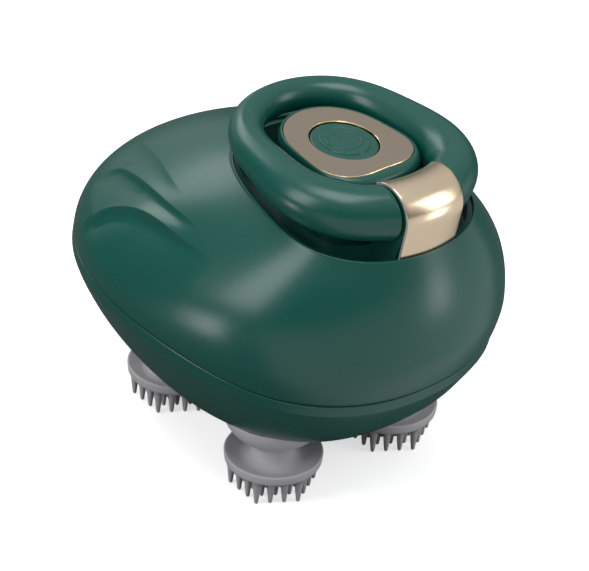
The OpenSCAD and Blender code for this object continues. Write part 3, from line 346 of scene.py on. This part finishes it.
def wave_depth(k, a, z, s, t):
    """Depth s mm under crest k, at the share t of the way to the next one."""
    fold = 1 - np.exp(-(s / WAVE_FOLDS[k]) ** 1.4)
    return (WAVE_DEPTHS[k] * fold * (1 - np.clip(t, 0, 1)) ** 1.3
            * smooth((WAVE_ENDS[k] - off_nose(a)) / WAVE_FADES[k])
            * smooth((off_nose(a) - WAVE_STARTS[k] - NOSE_FADE[0]) / NOSE_FADE[1])
            * smooth((z - seam_height(a) - SEAM_FADE[0]) / SEAM_FADE[1]))


def shell_rows(a):
    """Heights and depths of the shell's outer rows at the angles a, from the rim down."""
    low, rim, crest = shell_foot(a), rim_height(a), crest_row(0, a, 0)
    rows = [(rim + (crest - rim) * (1 - (1 - s) ** 1.25), 0 * a)
            for s in np.linspace(0, 1, 34, endpoint=False)]
    for k in range(3):
        top = crest_row(k, a, 0)
        end = crest_row(k + 1, a, 0) if k < 2 else low
        for s in FOLD_ROWS:
            z = crest_row(k, a, s)
            rows.append((z, wave_depth(k, a, z, s, (top - z) / (top - end))))
        for u in np.linspace(0, 1, 14 if k < 2 else 28, endpoint=False)[1:]:
            at = z + (end - z) * u
            s = FOLD_ROWS[-1] + (z - at) * ALONG_HEIGHT
            rows.append((at, wave_depth(k, a, at, s, (top - at) / (top - end))))
    rows.append((low + 0.12, 0 * a))
    return rows


def wave_angles():
    """Angles for the shell's columns: coarse at the heel, fine where a crest starts."""
    half = [0.0]
    while half[-1] < 180:
        n = 180 - half[-1]
        steep = any(start - 0.5 < n < start + 3 for start in WAVE_STARTS)
        half.append(half[-1] + (2.0 if n > 86 else 0.1 if steep else 0.5))
    half = np.array(half[:-1])
    return np.radians(np.concatenate([half, [180.0], 360 - half[:0:-1]]))


def make_upper_shell():
    a = wave_angles()
    rings = []
    half_rim = RIM_W / 2
    bead = [(0.02 - half_rim * np.sin(t), -half_rim - half_rim * np.cos(t))
            for t in np.linspace(0, 2.9, 9)]
    for drop, grow in [(5.0, -RIM_W), (2.8, -RIM_W), (0.3, -RIM_W)] + bead:
        rings.append(level(on_outline(TRAY, TRAY_X, a, grow), rim_height(a) - drop))
    for z, depth in shell_rows(a):
        rings.append(body_point(a, z) - body_normal(a, z) * depth[:, None])
    low = shell_foot(a)
    for depth in (SEAM_LIP, WALL):
        inner = body_point(a, low) - depth * body_normal(a, low)
        rings.append(level(inner[:, :2], low))
    for t in np.linspace(0.1, 1, 8):
        z = low + (rim_height(a) - 5.2 - low) * t
        rings.append(body_point(a, z) - (WALL + 2.0) * body_normal(a, z))
    piece = new_piece("wave_shell", *loft(rings, wrapped=True), emerald)
    face_outwards(piece)
    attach(piece, "housing")
    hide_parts("upper_shell")


# ---- Lower shell: a plain band under the seam, a soft crease, then the belly
CREASE, CREASE_DROP, CREASE_FADE = (0.35, 0.15), 3, 5
BAND_ROWS = (0.12, 0.6, 1.2, 1.8, 2.3, 2.7, 2.9, 3.0, 3.1, 3.4, 3.8, 4.4, 5.2)


def make_lower_shell():
    a = turn(360)
    top = seam_height(a) - SEAM_GAP / 2
    rings = []
    for depth in (WALL, SEAM_LIP):
        inner = body_point(a, top) - depth * body_normal(a, top)
        rings.append(level(inner[:, :2], top))
    belly = [top - BAND_ROWS[-1] + (COVER_TOP - top + BAND_ROWS[-1]) * t
             for t in np.linspace(0.02, 1, 40)]
    for z in [top - drop for drop in BAND_ROWS] + belly:
        past = (top - z - CREASE_DROP) / CREASE_FADE
        rise = np.clip((top - z) / CREASE_DROP, 0, 1) ** 1.5
        out = lobed(CREASE, a) * np.where(past <= 0, rise, np.maximum(0, 1 - past))
        rings.append(body_point(a, z) + body_normal(a, z) * out[:, None])
    for t in np.linspace(0, 0.85, 6):
        z = COVER_TOP + (top - COVER_TOP) * t
        p = body_point(a, z)
        inset = WALL * (1.8 - 0.8 * t)
        p[:, 0] -= inset * np.cos(a)
        p[:, 1] -= inset * np.sin(a)
        rings.append(p)
    piece = new_piece("belly_shell", *loft(rings, wrapped=True), emerald)
    face_outwards(piece)
    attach(piece, "housing")
    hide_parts("lower_shell")


# ---- Bottom cover with the heads' pockets, the contact holes and the screw recesses
def screw_place(angle):
    return inset_place(np.radians(angle), COVER_TOP, SCREW_INSET)


def make_bottom_cover():
    a = turn(360)
    rings = [body_point(a, z) for z in (COVER_TOP, 24.0, 23.4, 22.8, 22.2, 21.7, 21.4, 21.2,
                                        21.05, 20.95, BASE_Z)]
    piece = new_piece("base_cover", *loft(rings, capped=True), emerald)
    face_outwards(piece)
    below, above = BASE_Z - 3.9, COVER_TOP + 1.6
    holes = []
    for place in HEADS.values():
        holes += [(place, POCKET_TOP, POCKET_R, 96), (place, above, BORE_R, 48)]
    holes += [(screw_place(angle), SCREW_SEAT, RECESS_R, 48) for angle in COVER_SCREWS]
    holes += [(place, above, CONTACT_HOLE_R, 40) for place in CONTACTS]
    for place, top, r, sides in holes:
        cut(piece, new_piece("cutter", *rod(place, below, top, r, sides), emerald))
    sharpen(piece, 35)
    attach(piece, "housing")
    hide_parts("bottom_cover")


# ---- Tray under the ring: a flat floor with a rounded foot, and a wall up to the shell's rim
def make_tray():
    a = turn(240)
    foot = [(grow, TRAY_FLOOR + up) for grow, up in ((-12, 0), (-3.0, 0), (-2.3, 0.2), (-2.0, 0.8))]
    wall = [(grow, rim_height(a) - drop)
            for grow, drop in ((-2.0, 0.8), (-1.9, 0.55), (-1.7, 0.5), (-0.7, 0.5))]
    outside = [(-0.7, TRAY_FLOOR - 1.6)]
    rings = [level(on_outline(TRAY, TRAY_X, a, grow), z) for grow, z in foot + wall + outside]
    piece = new_piece("ring_tray", *loft(rings, capped=True), deep_green)
    face_outwards(piece)
    sharpen(piece, 50)
    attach(piece, "housing")
    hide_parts("handle_tray")


# ---- Pod and trim plate
def make_pod():
    a = turn(360)
    shoulder = on_outline(PLATE, PLATE_X, a, 0.35)
    wall, inside = on_outline(POD, PLATE_X, a), on_outline(POD, PLATE_X, a, -POD_WALL)
    rings = [level(on_outline(PLATE, PLATE_X, a, grow), PLATE_Z - drop)
             for grow, drop in ((0.1, PLATE_T), (0.1, 0.25), (0.2, 0.06))]
    for t in np.sin(np.linspace(0, np.pi / 2, 16)):
        drop = POD_ROUND * (1 - np.sqrt(max(0, 1 - t * t)))
        rings.append(level(shoulder + (wall - shoulder) * t, PLATE_Z - drop))
    rings += [level(wall, TRAY_FLOOR), level(inside, TRAY_FLOOR), level(inside, PLATE_Z - 2.8)]
    piece = new_piece("control_housing", *loft(rings, capped=True), emerald)
    face_outwards(piece)
    hole = [level(oval(turn(96), *BUTTON_HOLE), PLATE_Z + z) for z in (1.6, -4.4)]
    cut(piece, new_piece("cutter", *loft(hole, capped=True), emerald))
    sharpen(piece, 40)
    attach(piece, "housing")
    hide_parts("control_pod")


def make_plate():
    t = turn(360)
    chamfer = 0.13

    def outer(grow, z):
        return level(on_outline(PLATE, PLATE_X, t, grow), z)

    def hole(grow, z):
        return level(oval(t, BUTTON_HOLE[0] + grow, BUTTON_HOLE[1] + grow), z)
    rings = [hole(chamfer, PLATE_Z), outer(-chamfer, PLATE_Z), outer(0, PLATE_Z - chamfer),
             outer(0, PLATE_Z - PLATE_T), hole(0, PLATE_Z - PLATE_T), hole(0, PLATE_Z - chamfer)]
    piece = new_piece("trim_face", *loft(rings, wrapped=True), taupe, soft=False)
    piece.data.materials.append(gold_edge)
    gold_bands = (0, 1, 1, 0, 1, 1)    # which bands between the rings are polished
    piece.data.polygons.foreach_set("material_index", np.repeat(gold_bands, len(t)))
    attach(piece, "housing")
    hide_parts("trim_plate")


# ---- Power button: an oval with a raised disc and a plain on-off mark
def make_button():
    t = turn(144)
    top, flange, stem = PLATE_Z - 0.3, 84.5, 81.7    # the flange is 0.8 thick
    disc = 0.74                        # the raised disc's share of the oval
    face = [(s, 0.32 - 0.05 * (s / disc) ** 2) for s in (0.02, 0.3, 0.5, 0.66)]
    step = [(disc - 0.02, 0.26), (disc - 0.006, 0.2), (disc, 0.08), (disc + 0.004, 0.01),
            (disc + 0.02, -0.02)]
    border = [(s, -0.02 + 0.02 * smooth((s - disc) / 0.2)) for s in (0.82, 0.9, 0.95)]
    edge = [(0.975, -0.06), (0.992, -0.2), (1, -0.45)]
    sides = [(1, flange), (1.1, flange), (1.1, flange - 0.8), (0.2, flange - 0.8), (0.2, stem)]
    profile = [(share, top + up) for share, up in face + step + border + edge] + sides
    rings = [level(oval(t, BUTTON[0] * share, BUTTON[1] * share), z) for share, z in profile]
    piece = new_piece("power_key", *loft(rings, capped=True), emerald)
    face_outwards(piece)
    sharpen(piece, 50)
    join([piece, open_ring_and_bar(top + 0.3)])
    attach(piece, "button")
    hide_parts("power_button")


def join(pieces):
    """Joins the meshes of several pieces into the first one."""
    work = bmesh.new()
    for piece in pieces:
        work.from_mesh(piece.data)
    work.to_mesh(pieces[0].data)
    work.free()
    for piece in pieces[1:]:
        bpy.data.objects.remove(piece)
    return pieces[0]


def open_ring_and_bar(z):
    """The mark's strokes: rounded ridges along an open circle and a short bar."""
    def ridge(path):
        along = np.gradient(path, axis=0)
        along /= np.linalg.norm(along, axis=1, keepdims=True)
        side = np.column_stack([-along[:, 1], along[:, 0]])
        rings = []
        for k in np.linspace(0, np.pi, 7):
            rings.append(level(path + side * (STROKE_W / 2 * np.cos(k)),
                               z + STROKE_H * np.sin(k)))
        rings += [level(path + side * (way * STROKE_W / 2), z - 0.1) for way in (-1, 1)]
        rings = np.asarray(rings)
        rows, columns = rings.shape[:2]
        faces = [tuple(f) for f in strip_faces(rows, columns, True, False)]
        faces.append(tuple(i * columns for i in range(rows)))
        faces.append(tuple(i * columns + columns - 1 for i in range(rows - 1, -1, -1)))
        return new_piece("stroke", rings.reshape(-1, 3), faces, emerald)
    t = np.radians(np.linspace(215, 505, 60))
    bar = np.column_stack([BUTTON_X - np.linspace(1.2, 4.7, 8), np.zeros(8)])
    return face_outwards(join([ridge(oval(t, MARK_R, MARK_R)), ridge(bar)]))


# ---- Ring handle
def ring_centre(a):
    r = lobed(RING, a)
    x = r * np.cos(a)
    return np.stack([x, r * np.sin(a), RING_Z - RING_SLOPE * x], -1)


def tube_section(a, side, grow=0.0, sides=48):
    """The tube's section at the angle a, with its width along side."""
    k, centre = turn(sides), ring_centre(a)
    half_w, half_h = [half + TUBE_SWELL * np.cos(a) + grow for half in TUBE]
    return np.column_stack([centre[0] + half_w * np.cos(k) * side[0],
                            centre[1] + half_w * np.cos(k) * side[1],
                            centre[2] + half_h * np.sin(k)])


def tube_end(a, way):
    """The rounded cut end on the side given by way, from its face inwards."""
    rings = []
    for grow, back in ((-0.45, 0.0), (-0.2, 0.06), (-0.06, 0.2), (0, 0.45)):
        ring = tube_section(a, (1, 0), grow)
        ring[:, 1] = way * (RING_END + back)
        rings.append(ring)
    return rings


def make_ring():
    sections, straight = 220, 20       # how many sections turn from the cut's side to their own
    angles = np.linspace(RING_FROM, TAU - RING_FROM, sections + 1)
    middle = []
    for i in range(1, sections):
        along = ring_centre(angles[i] + 0.008) - ring_centre(angles[i] - 0.008)
        out = np.array([along[1], -along[0]])
        out /= np.linalg.norm(out)
        near = smooth(min(i, sections - i) / straight)
        side = np.array([1, 0]) * (1 - near) + out * near
        ring = tube_section(angles[i], side / np.linalg.norm(side))
        if np.abs(ring[:, 1]).min() > RING_END + 0.75 or ring[:, 0].max() < 20:
            middle.append(ring)
    rings = tube_end(angles[0], 1) + middle + tube_end(angles[-1], -1)[::-1]
    piece = new_piece("handle_tube", *loft(rings, capped=True), emerald)
    face_outwards(piece)
    t = turn(40)
    for way in (-1, 1):
        hole = [np.column_stack([HINGE_X + PIN_HOLE_R * np.cos(t), np.full(len(t), y),
                                 HINGE_Z + PIN_HOLE_R * np.sin(t)])
                for y in (way * (RING_END - 1), way * (RING_END + 6.6))]
        cut(piece, new_piece("cutter", *loft(hole, capped=True), emerald))
    sharpen(piece, 60)
    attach(piece, "ring")
    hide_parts("handle_ring")


# ---- Metal clasp: a bent sheet with softened edges, bowed outwards round the pole
def make_clasp():
    lean = np.radians(APRON_LEAN)
    t = np.radians(np.linspace(CLASP_FROM, -APRON_LEAN, 72))
    mid_r = CLASP_R - CLASP_T / 2
    path = [(CLASP_X + mid_r * np.cos(k), HINGE_Z + mid_r * np.sin(k)) for k in t]
    x, z = path[-1]
    length = (z - CLASP_FOOT) / np.cos(lean)
    path += [(x - np.sin(lean) * length * k, z - np.cos(lean) * length * k)
             for k in np.linspace(0.05, 1, 14)]
    path = np.array(path)
    along = np.gradient(path, axis=0)
    along /= np.linalg.norm(along, axis=1, keepdims=True)
    normal = np.column_stack([-along[:, 1], along[:, 0]])
    half_t, half_w, r = CLASP_T / 2, CLASP_W / 2, 0.16    # r rounds the sheet's edges
    across = np.linspace(-1, 1, 25)[1:-1] * (half_w - r)
    edge = []
    for cy, cn, start in ((1, 1, 0), (-1, 1, 90), (-1, -1, 180), (1, -1, 270)):
        for k in np.radians(np.linspace(start, start + 90, 4)):
            edge.append((cy * (half_w - r) + r * np.cos(k), cn * (half_t - r) + r * np.sin(k)))
        if cy == cn:
            edge += [(-cn * y, cn * half_t) for y in across]
    y, h = np.array(edge).T
    rings = []
    for p, n in zip(path, normal):
        out = p[0] + n[0] * h
        rings.append(np.column_stack([np.sqrt(out ** 2 - y ** 2), y, p[1] + n[1] * h]))
    piece = new_piece("clasp_sheet", *loft(rings, capped=True), champagne)
    face_outwards(piece)
    piece.data.materials.append(champagne_edge)
    for face in piece.data.polygons:
        if abs(face.normal.y) > 0.9:
            face.material_index = 1
    sharpen(piece, 40)
    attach(piece, "housing")
    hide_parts("clasp_band")


# ---- Massage heads: a turned body with teeth on a hexagonal lattice
def bezier(p, t):
    """Points at the shares t of the curve with the four control points p."""
    p = np.asarray(p, float)
    t = np.asarray(t)[:, None]
    return ((1 - t) ** 3 * p[0] + 3 * t * (1 - t) ** 2 * p[1] + 3 * t * t * (1 - t) * p[2]
            + t ** 3 * p[3])


def arc(c, r, start, stop, count):
    """Points on a circle round c, between two angles in degrees."""
    t = np.radians(np.linspace(start, stop, count))
    return np.column_stack([c[0] + r * np.cos(t), c[1] + r * np.sin(t)])


def head_profile():
    """Radius and height, from the disc's face over its rim and the waist to the skirt."""
    tooth, disc, lip, neck, skirt, top = 6.6, 11.9, 1.45, 4.9, 12.6, 21.8
    waist = np.array([neck + 2.7, tooth + 4])
    start = waist + 2.7 * np.array([np.cos(np.radians(135)), np.sin(np.radians(135))])
    flare = bezier([start, start + (3.3, 2.8), (skirt - 0.4, top - 4.8), (skirt, top - 0.4)],
                   np.linspace(0.04, 1, 24))
    return np.concatenate([
        [(0.01, tooth), (8, tooth)], arc((disc - 1.25, tooth + 1.1), 1.1, -90, -6, 12),
        arc((disc - 0.35, tooth + 2 * lip - 0.35), 0.35, 0, 125, 9),
        [(disc - 1.2, tooth + 2 * lip - 0.32), (disc - 2.2, tooth + 2 * lip - 0.85),
         (disc - 3.2, tooth + 2 * lip - 1.32)],
        arc(waist, 2.7, 285, 137, 22), flare,
        [(skirt - 0.12, top - 0.05), (skirt - 0.4, top), (0.01, top)]])


def teeth_tree():
    """Geometry nodes: one round tapered tooth on each point of the input mesh."""
    tree = bpy.data.node_groups.new("silicone_teeth", "GeometryNodeTree")
    socket = tree.interface.new_socket
    socket("Geometry", in_out="INPUT", socket_type="NodeSocketGeometry")
    for name, metres in (("Tooth Length", 0.0069), ("Root Radius", 0.0012),
                         ("Tip Radius", 0.00044)):
        item = socket(name, in_out="INPUT", socket_type="NodeSocketFloat")
        item.default_value = metres
    socket("Silicone", in_out="INPUT", socket_type="NodeSocketMaterial")
    socket("Geometry", in_out="OUTPUT", socket_type="NodeSocketGeometry")
    nodes, link = tree.nodes, tree.links.new
    ends = nodes.new("NodeGroupInput")
    out = nodes.new("NodeGroupOutput")
    axis = nodes.new("GeometryNodeCurvePrimitiveLine")
    reach = nodes.new("ShaderNodeCombineXYZ")
    link(ends.outputs["Tooth Length"], reach.inputs["Z"])
    link(reach.outputs["Vector"], axis.inputs["End"])
    steps = set_sockets(nodes.new("GeometryNodeResampleCurve"), Count=24)
    link(axis.outputs["Curve"], steps.inputs["Curve"])
    along = nodes.new("GeometryNodeSplineParameter")
    # the tip rounds off within the first tenth, then the tooth widens evenly to its root
    round_tip = set_sockets(nodes.new("ShaderNodeMapRange"), From_Max=0.09)
    link(along.outputs["Factor"], round_tip.inputs["Value"])
    dome = nodes.new("ShaderNodeFloatCurve")
    curve = dome.mapping.curves[0]
    curve.points[0].location = (0.0, 0.42)
    curve.points[-1].location = (1.0, 1.0)
    for x, y in ((0.15, 0.72), (0.45, 0.93)):
        curve.points.new(x, y)
    dome.mapping.update()
    link(round_tip.outputs["Result"], dome.inputs["Value"])
    taper = nodes.new("ShaderNodeMapRange")
    link(along.outputs["Factor"], taper.inputs["Value"])
    link(ends.outputs["Tip Radius"], taper.inputs["To Min"])
    link(ends.outputs["Root Radius"], taper.inputs["To Max"])
    flare = set_sockets(nodes.new("ShaderNodeMapRange"), From_Min=0.82, To_Min=1.0, To_Max=1.3)
    flare.interpolation_type = "SMOOTHSTEP"
    link(along.outputs["Factor"], flare.inputs["Value"])
    radius = taper.outputs["Result"]
    for factor in (dome.outputs["Value"], flare.outputs["Result"]):
        times = nodes.new("ShaderNodeMath")
        times.operation = "MULTIPLY"
        link(radius, times.inputs[0])
        link(factor, times.inputs[1])
        radius = times.outputs["Value"]
    ring = set_sockets(nodes.new("GeometryNodeCurvePrimitiveCircle"), Resolution=14, Radius=1.0)
    sweep = set_sockets(nodes.new("GeometryNodeCurveToMesh"), Fill_Caps=True)
    link(steps.outputs["Curve"], sweep.inputs["Curve"])
    link(ring.outputs["Curve"], sweep.inputs["Profile Curve"])
    link(radius, sweep.inputs["Scale"])
    soft = nodes.new("GeometryNodeSetShadeSmooth")
    link(sweep.outputs["Mesh"], soft.inputs["Geometry"])
    place = nodes.new("GeometryNodeInstanceOnPoints")
    link(ends.outputs["Geometry"], place.inputs["Points"])
    link(soft.outputs["Geometry"], place.inputs["Instance"])
    real = nodes.new("GeometryNodeRealizeInstances")
    link(place.outputs["Instances"], real.inputs["Geometry"])
    paint = nodes.new("GeometryNodeSetMaterial")
    link(real.outputs["Geometry"], paint.inputs["Geometry"])
    link(ends.outputs["Silicone"], paint.inputs["Material"])
    link(paint.outputs["Geometry"], out.inputs["Geometry"])
    return tree


def tooth_lattice(rings=3, reach=10.0):
    """Points of a hexagonal lattice, in rings round the middle one out to the reach."""
    pitch = reach / rings
    points = []
    for q in range(-rings, rings + 1):
        for r in range(max(-rings, -q - rings), min(rings, -q + rings) + 1):
            points.append((pitch * (q + r / 2), pitch * r * np.sqrt(3) / 2, 0.0))
    return np.array(points)


def make_heads():
    tree = teeth_tree()
    for name, place in HEADS.items():
        turned = lathe(head_profile(), place, 120)
        piece = new_piece(f"silicone_head_{name}", *loft(turned, capped=True), silicone)
        face_outwards(piece)
        sharpen(piece, 55)
        points = tooth_lattice() + (place[0], place[1], 0)
        teeth = new_piece(f"teeth_{name}", points, [], silicone)
        modifier = teeth.modifiers.new("teeth", "NODES")
        modifier.node_group = tree
        for item in tree.interface.items_tree:
            if item.name == "Silicone":
                modifier[item.identifier] = silicone
        apply_modifiers(teeth)
        join([piece, teeth])
        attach(piece, name)
        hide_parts(f"head_{name}")


# ---- Cover screws: pan heads with a cross recess
def make_cover_screws():
    head = [(0.01, 22.25), (1.5, 22.2), (2.1, 22.3), (2.34, 22.6), (2.4, 23.0),
            (2.4, SCREW_SEAT), (1.05, SCREW_SEAT), (1.05, 30.0), (0.01, 30.6)]
    pieces = []
    for angle in COVER_SCREWS:
        x, y = place = screw_place(angle)
        screw = face_outwards(new_piece("screw", *loft(lathe(head, place, 48), capped=True),
                                        steel))
        for w, d in ((1.25, 0.3), (0.3, 1.25)):
            corners = [(x - w, y - d), (x + w, y - d), (x + w, y + d), (x - w, y + d)]
            box = [level(corners, z) for z in (SCREW_SEAT - 0.4, 21.5)]
            cut(screw, new_piece("cutter", *loft(box, capped=True), steel))
        pieces.append(screw)
    piece = join(pieces)
    piece.name = "cross_head_screws"
    sharpen(piece, 35)
    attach(piece, "housing")
    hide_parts("cover_screws")


# ---- CAD nodes that stay as they are
def dress_nodes():
    kept = {
        deep_green: ["hinge_bracket"],
        black_rubber: ["seam_gasket", "spindle_seals"],
        black_plastic: ["switch_plunger", "motor_end_cap", "gearbox_deck", "sun_clip",
                        "battery_tray", "board_parts", "contact_holder"],
        steel: ["tact_switch", "hinge_pin", "shell_screws", "tray_screws", "deck_screws",
                "motor_can", "motor_screws", "motor_shaft", "idler_axle", "sun_axle"],
        nylon: ["motor_pinion", "idler_gear", "sun_gear"],
        bronze: ["spindle_bushes", "thrust_washers"],
        gold: ["charge_contacts"],
        film: ["battery_cell"],
        board: ["switch_board", "main_board"],
    }
    for name in HEADS:
        kept[nylon] += [f"core_{name}", f"gear_{name}"]
        kept[steel].append(f"spindle_{name}")
    for material, names in kept.items():
        for name in names:
            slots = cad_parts[name].data.materials
            slots.clear()
            slots.append(material)


# ---- Floor, light and camera
FLOOR_SIDE = (1.0, 0.0, 0.0)           # the floor is pale on the right
SKY_SIDE = (0.05, 0.25, 0.97)          # the studio's light comes from above and behind
VIEW_AZIMUTH, VIEW_ELEVATION, VIEW_ROLL = 50.0118, 33.3578, 3.1598
VIEW_TARGET, VIEW_DISTANCE = (-7.135, -5.819, 45.930), 635.24
SENSOR_W, FOCAL_PIXELS, WIDTH_PIXELS = 36.0, 2701.87, 589
# name, target, direction from it, distance, width and height in metres, power in watts
LAMPS = (
    ("key", (0.033, -0.025, 0.08), (-0.22, -0.86, 0.43), 0.5, (0.2, 0.34), 0.95),
    ("left_strip", (0, 0, 0.08), (-0.86, -0.02, 0.5), 0.5, (0.3, 0.17), 0.45),
    ("left_wall", (-0.03, 0, 0.05), (-1, 0.1, 0.1), 0.6, (0.6, 0.3), 0.18),
    ("overhead", (0.01, 0, 0.085), (0.04, -0.2, 0.97), 0.5, (0.34, 0.3), 1.3),
    ("right_wall", (0.05, 0, 0.085), (0.66, 0.55, 0.33), 0.5, (0.2, 0.36), 0.65),
    ("right_card", (0.056, 0, 0.064), (0.78, 0.58, -0.18), 0.2, (0.045, 0.07), 0.035),
    ("low_card", (0.0235, -0.04, 0.053), (-0.36, -0.9, -0.26), 0.17, (0.036, 0.07), 0.05),
)


def direction_share(tree, vector, side, **ends):
    """A value that grows between its ends as the vector turns towards the side."""
    dot = tree.nodes.new("ShaderNodeVectorMath")
    dot.operation = "DOT_PRODUCT"
    dot.inputs[1].default_value = side
    tree.links.new(vector, dot.inputs[0])
    share = set_sockets(tree.nodes.new("ShaderNodeMapRange"), **ends)
    share.interpolation_type = "SMOOTHSTEP"
    tree.links.new(dot.outputs["Value"], share.inputs["Value"])
    return share.outputs["Result"]


def added(tree, first, second):
    both = tree.nodes.new("ShaderNodeAddShader")
    tree.links.new(first.outputs[0], both.inputs[0])
    tree.links.new(second.outputs[0], both.inputs[1])
    return both


def split_by_ray(tree, for_object, for_camera, output):
    """One shader for what the object sees and mirrors, another one for the camera."""
    ray = tree.nodes.new("ShaderNodeLightPath")
    mix = tree.nodes.new("ShaderNodeMixShader")
    tree.links.new(ray.outputs["Is Camera Ray"], mix.inputs["Fac"])
    tree.links.new(for_object.outputs[0], mix.inputs[1])
    tree.links.new(for_camera.outputs[0], mix.inputs[2])
    tree.links.new(mix.outputs["Shader"], tree.nodes[output].inputs["Surface"])


def make_floor():
    bpy.ops.mesh.primitive_plane_add(size=6, location=(0, 0, 0))
    floor = bpy.context.object
    floor.name = "floor"
    material = bpy.data.materials.new("white_floor")
    material.use_nodes = True
    tree = material.node_tree
    nodes = tree.nodes
    white = set_sockets(nodes["Principled BSDF"], Base_Color=(0.85, 0.85, 0.85, 1), Roughness=0.9)
    glow = set_sockets(nodes.new("ShaderNodeEmission"), Strength=0.62)
    # what the object itself sees of the floor: dim in front, pale on the bright side
    matt = set_sockets(nodes.new("ShaderNodeBsdfDiffuse"), Color=(0.12, 0.12, 0.12, 1))
    pale = nodes.new("ShaderNodeEmission")
    where = nodes.new("ShaderNodeTexCoord").outputs["Object"]
    tree.links.new(direction_share(tree, where, FLOOR_SIDE, From_Min=0.045, From_Max=0.08,
                                   To_Min=0.0, To_Max=0.6), pale.inputs["Strength"])
    split_by_ray(tree, added(tree, matt, pale), added(tree, white, glow), "Material Output")
    floor.data.materials.append(material)


def make_world():
    world = bpy.data.worlds.new("studio")
    bpy.context.scene.world = world
    world.use_nodes = True
    tree = world.node_tree
    sky = set_sockets(tree.nodes["Background"], Color=(0.97, 0.98, 1.0, 1))
    way = tree.nodes.new("ShaderNodeTexCoord").outputs["Generated"]
    tree.links.new(direction_share(tree, way, SKY_SIDE, From_Min=-0.05, From_Max=1.0,
                                   To_Min=0.1, To_Max=0.72), sky.inputs["Strength"])
    white = set_sockets(tree.nodes.new("ShaderNodeBackground"), Strength=1.0)
    split_by_ray(tree, sky, white, "World Output")


def softbox(name, target, way, distance, size, power):
    """A rectangular lamp seen from target in the direction way, facing it."""
    way = Vector(way).normalized()
    lamp = bpy.data.lights.new(name, "AREA")
    lamp.shape = "RECTANGLE"
    lamp.size, lamp.size_y = size
    lamp.energy = power
    box = bpy.data.objects.new(name, lamp)
    collection.objects.link(box)
    box.location = Vector(target) + way * distance
    box.rotation_euler = way.to_track_quat("Z", "Y").to_euler()
    box.visible_camera = False


def make_lights():
    for lamp in LAMPS:
        softbox(*lamp)


def make_camera():
    az, el, roll = np.radians([VIEW_AZIMUTH, VIEW_ELEVATION, VIEW_ROLL])
    back = np.array([np.sin(az) * np.cos(el), -np.cos(az) * np.cos(el), np.sin(el)])
    right = np.array([np.cos(az), np.sin(az), 0.0])
    up = np.cross(back, right)
    x = np.cos(roll) * right + np.sin(roll) * up
    y = -np.sin(roll) * right + np.cos(roll) * up
    place = (np.array(VIEW_TARGET) + (POLE_X, 0, 0) + back * VIEW_DISTANCE) * 0.001
    camera = bpy.data.cameras.new("camera")
    camera.sensor_fit = "HORIZONTAL"
    camera.sensor_width = SENSOR_W
    camera.lens = FOCAL_PIXELS * SENSOR_W / WIDTH_PIXELS
    camera.clip_end = 20
    holder = bpy.data.objects.new("camera", camera)
    collection.objects.link(holder)
    axes = [[x[i], y[i], back[i], place[i]] for i in range(3)]
    holder.matrix_world = Matrix(axes + [[0, 0, 0, 1]])
    bpy.context.scene.camera = holder


make_camera()
make_upper_shell()
make_lower_shell()
make_bottom_cover()
make_tray()
make_pod()
make_plate()
make_button()
make_ring()
make_clasp()
make_heads()
make_cover_screws()
dress_nodes()
make_floor()
make_world()
make_lights()
bpy.context.scene.view_settings.view_transform = "Standard"
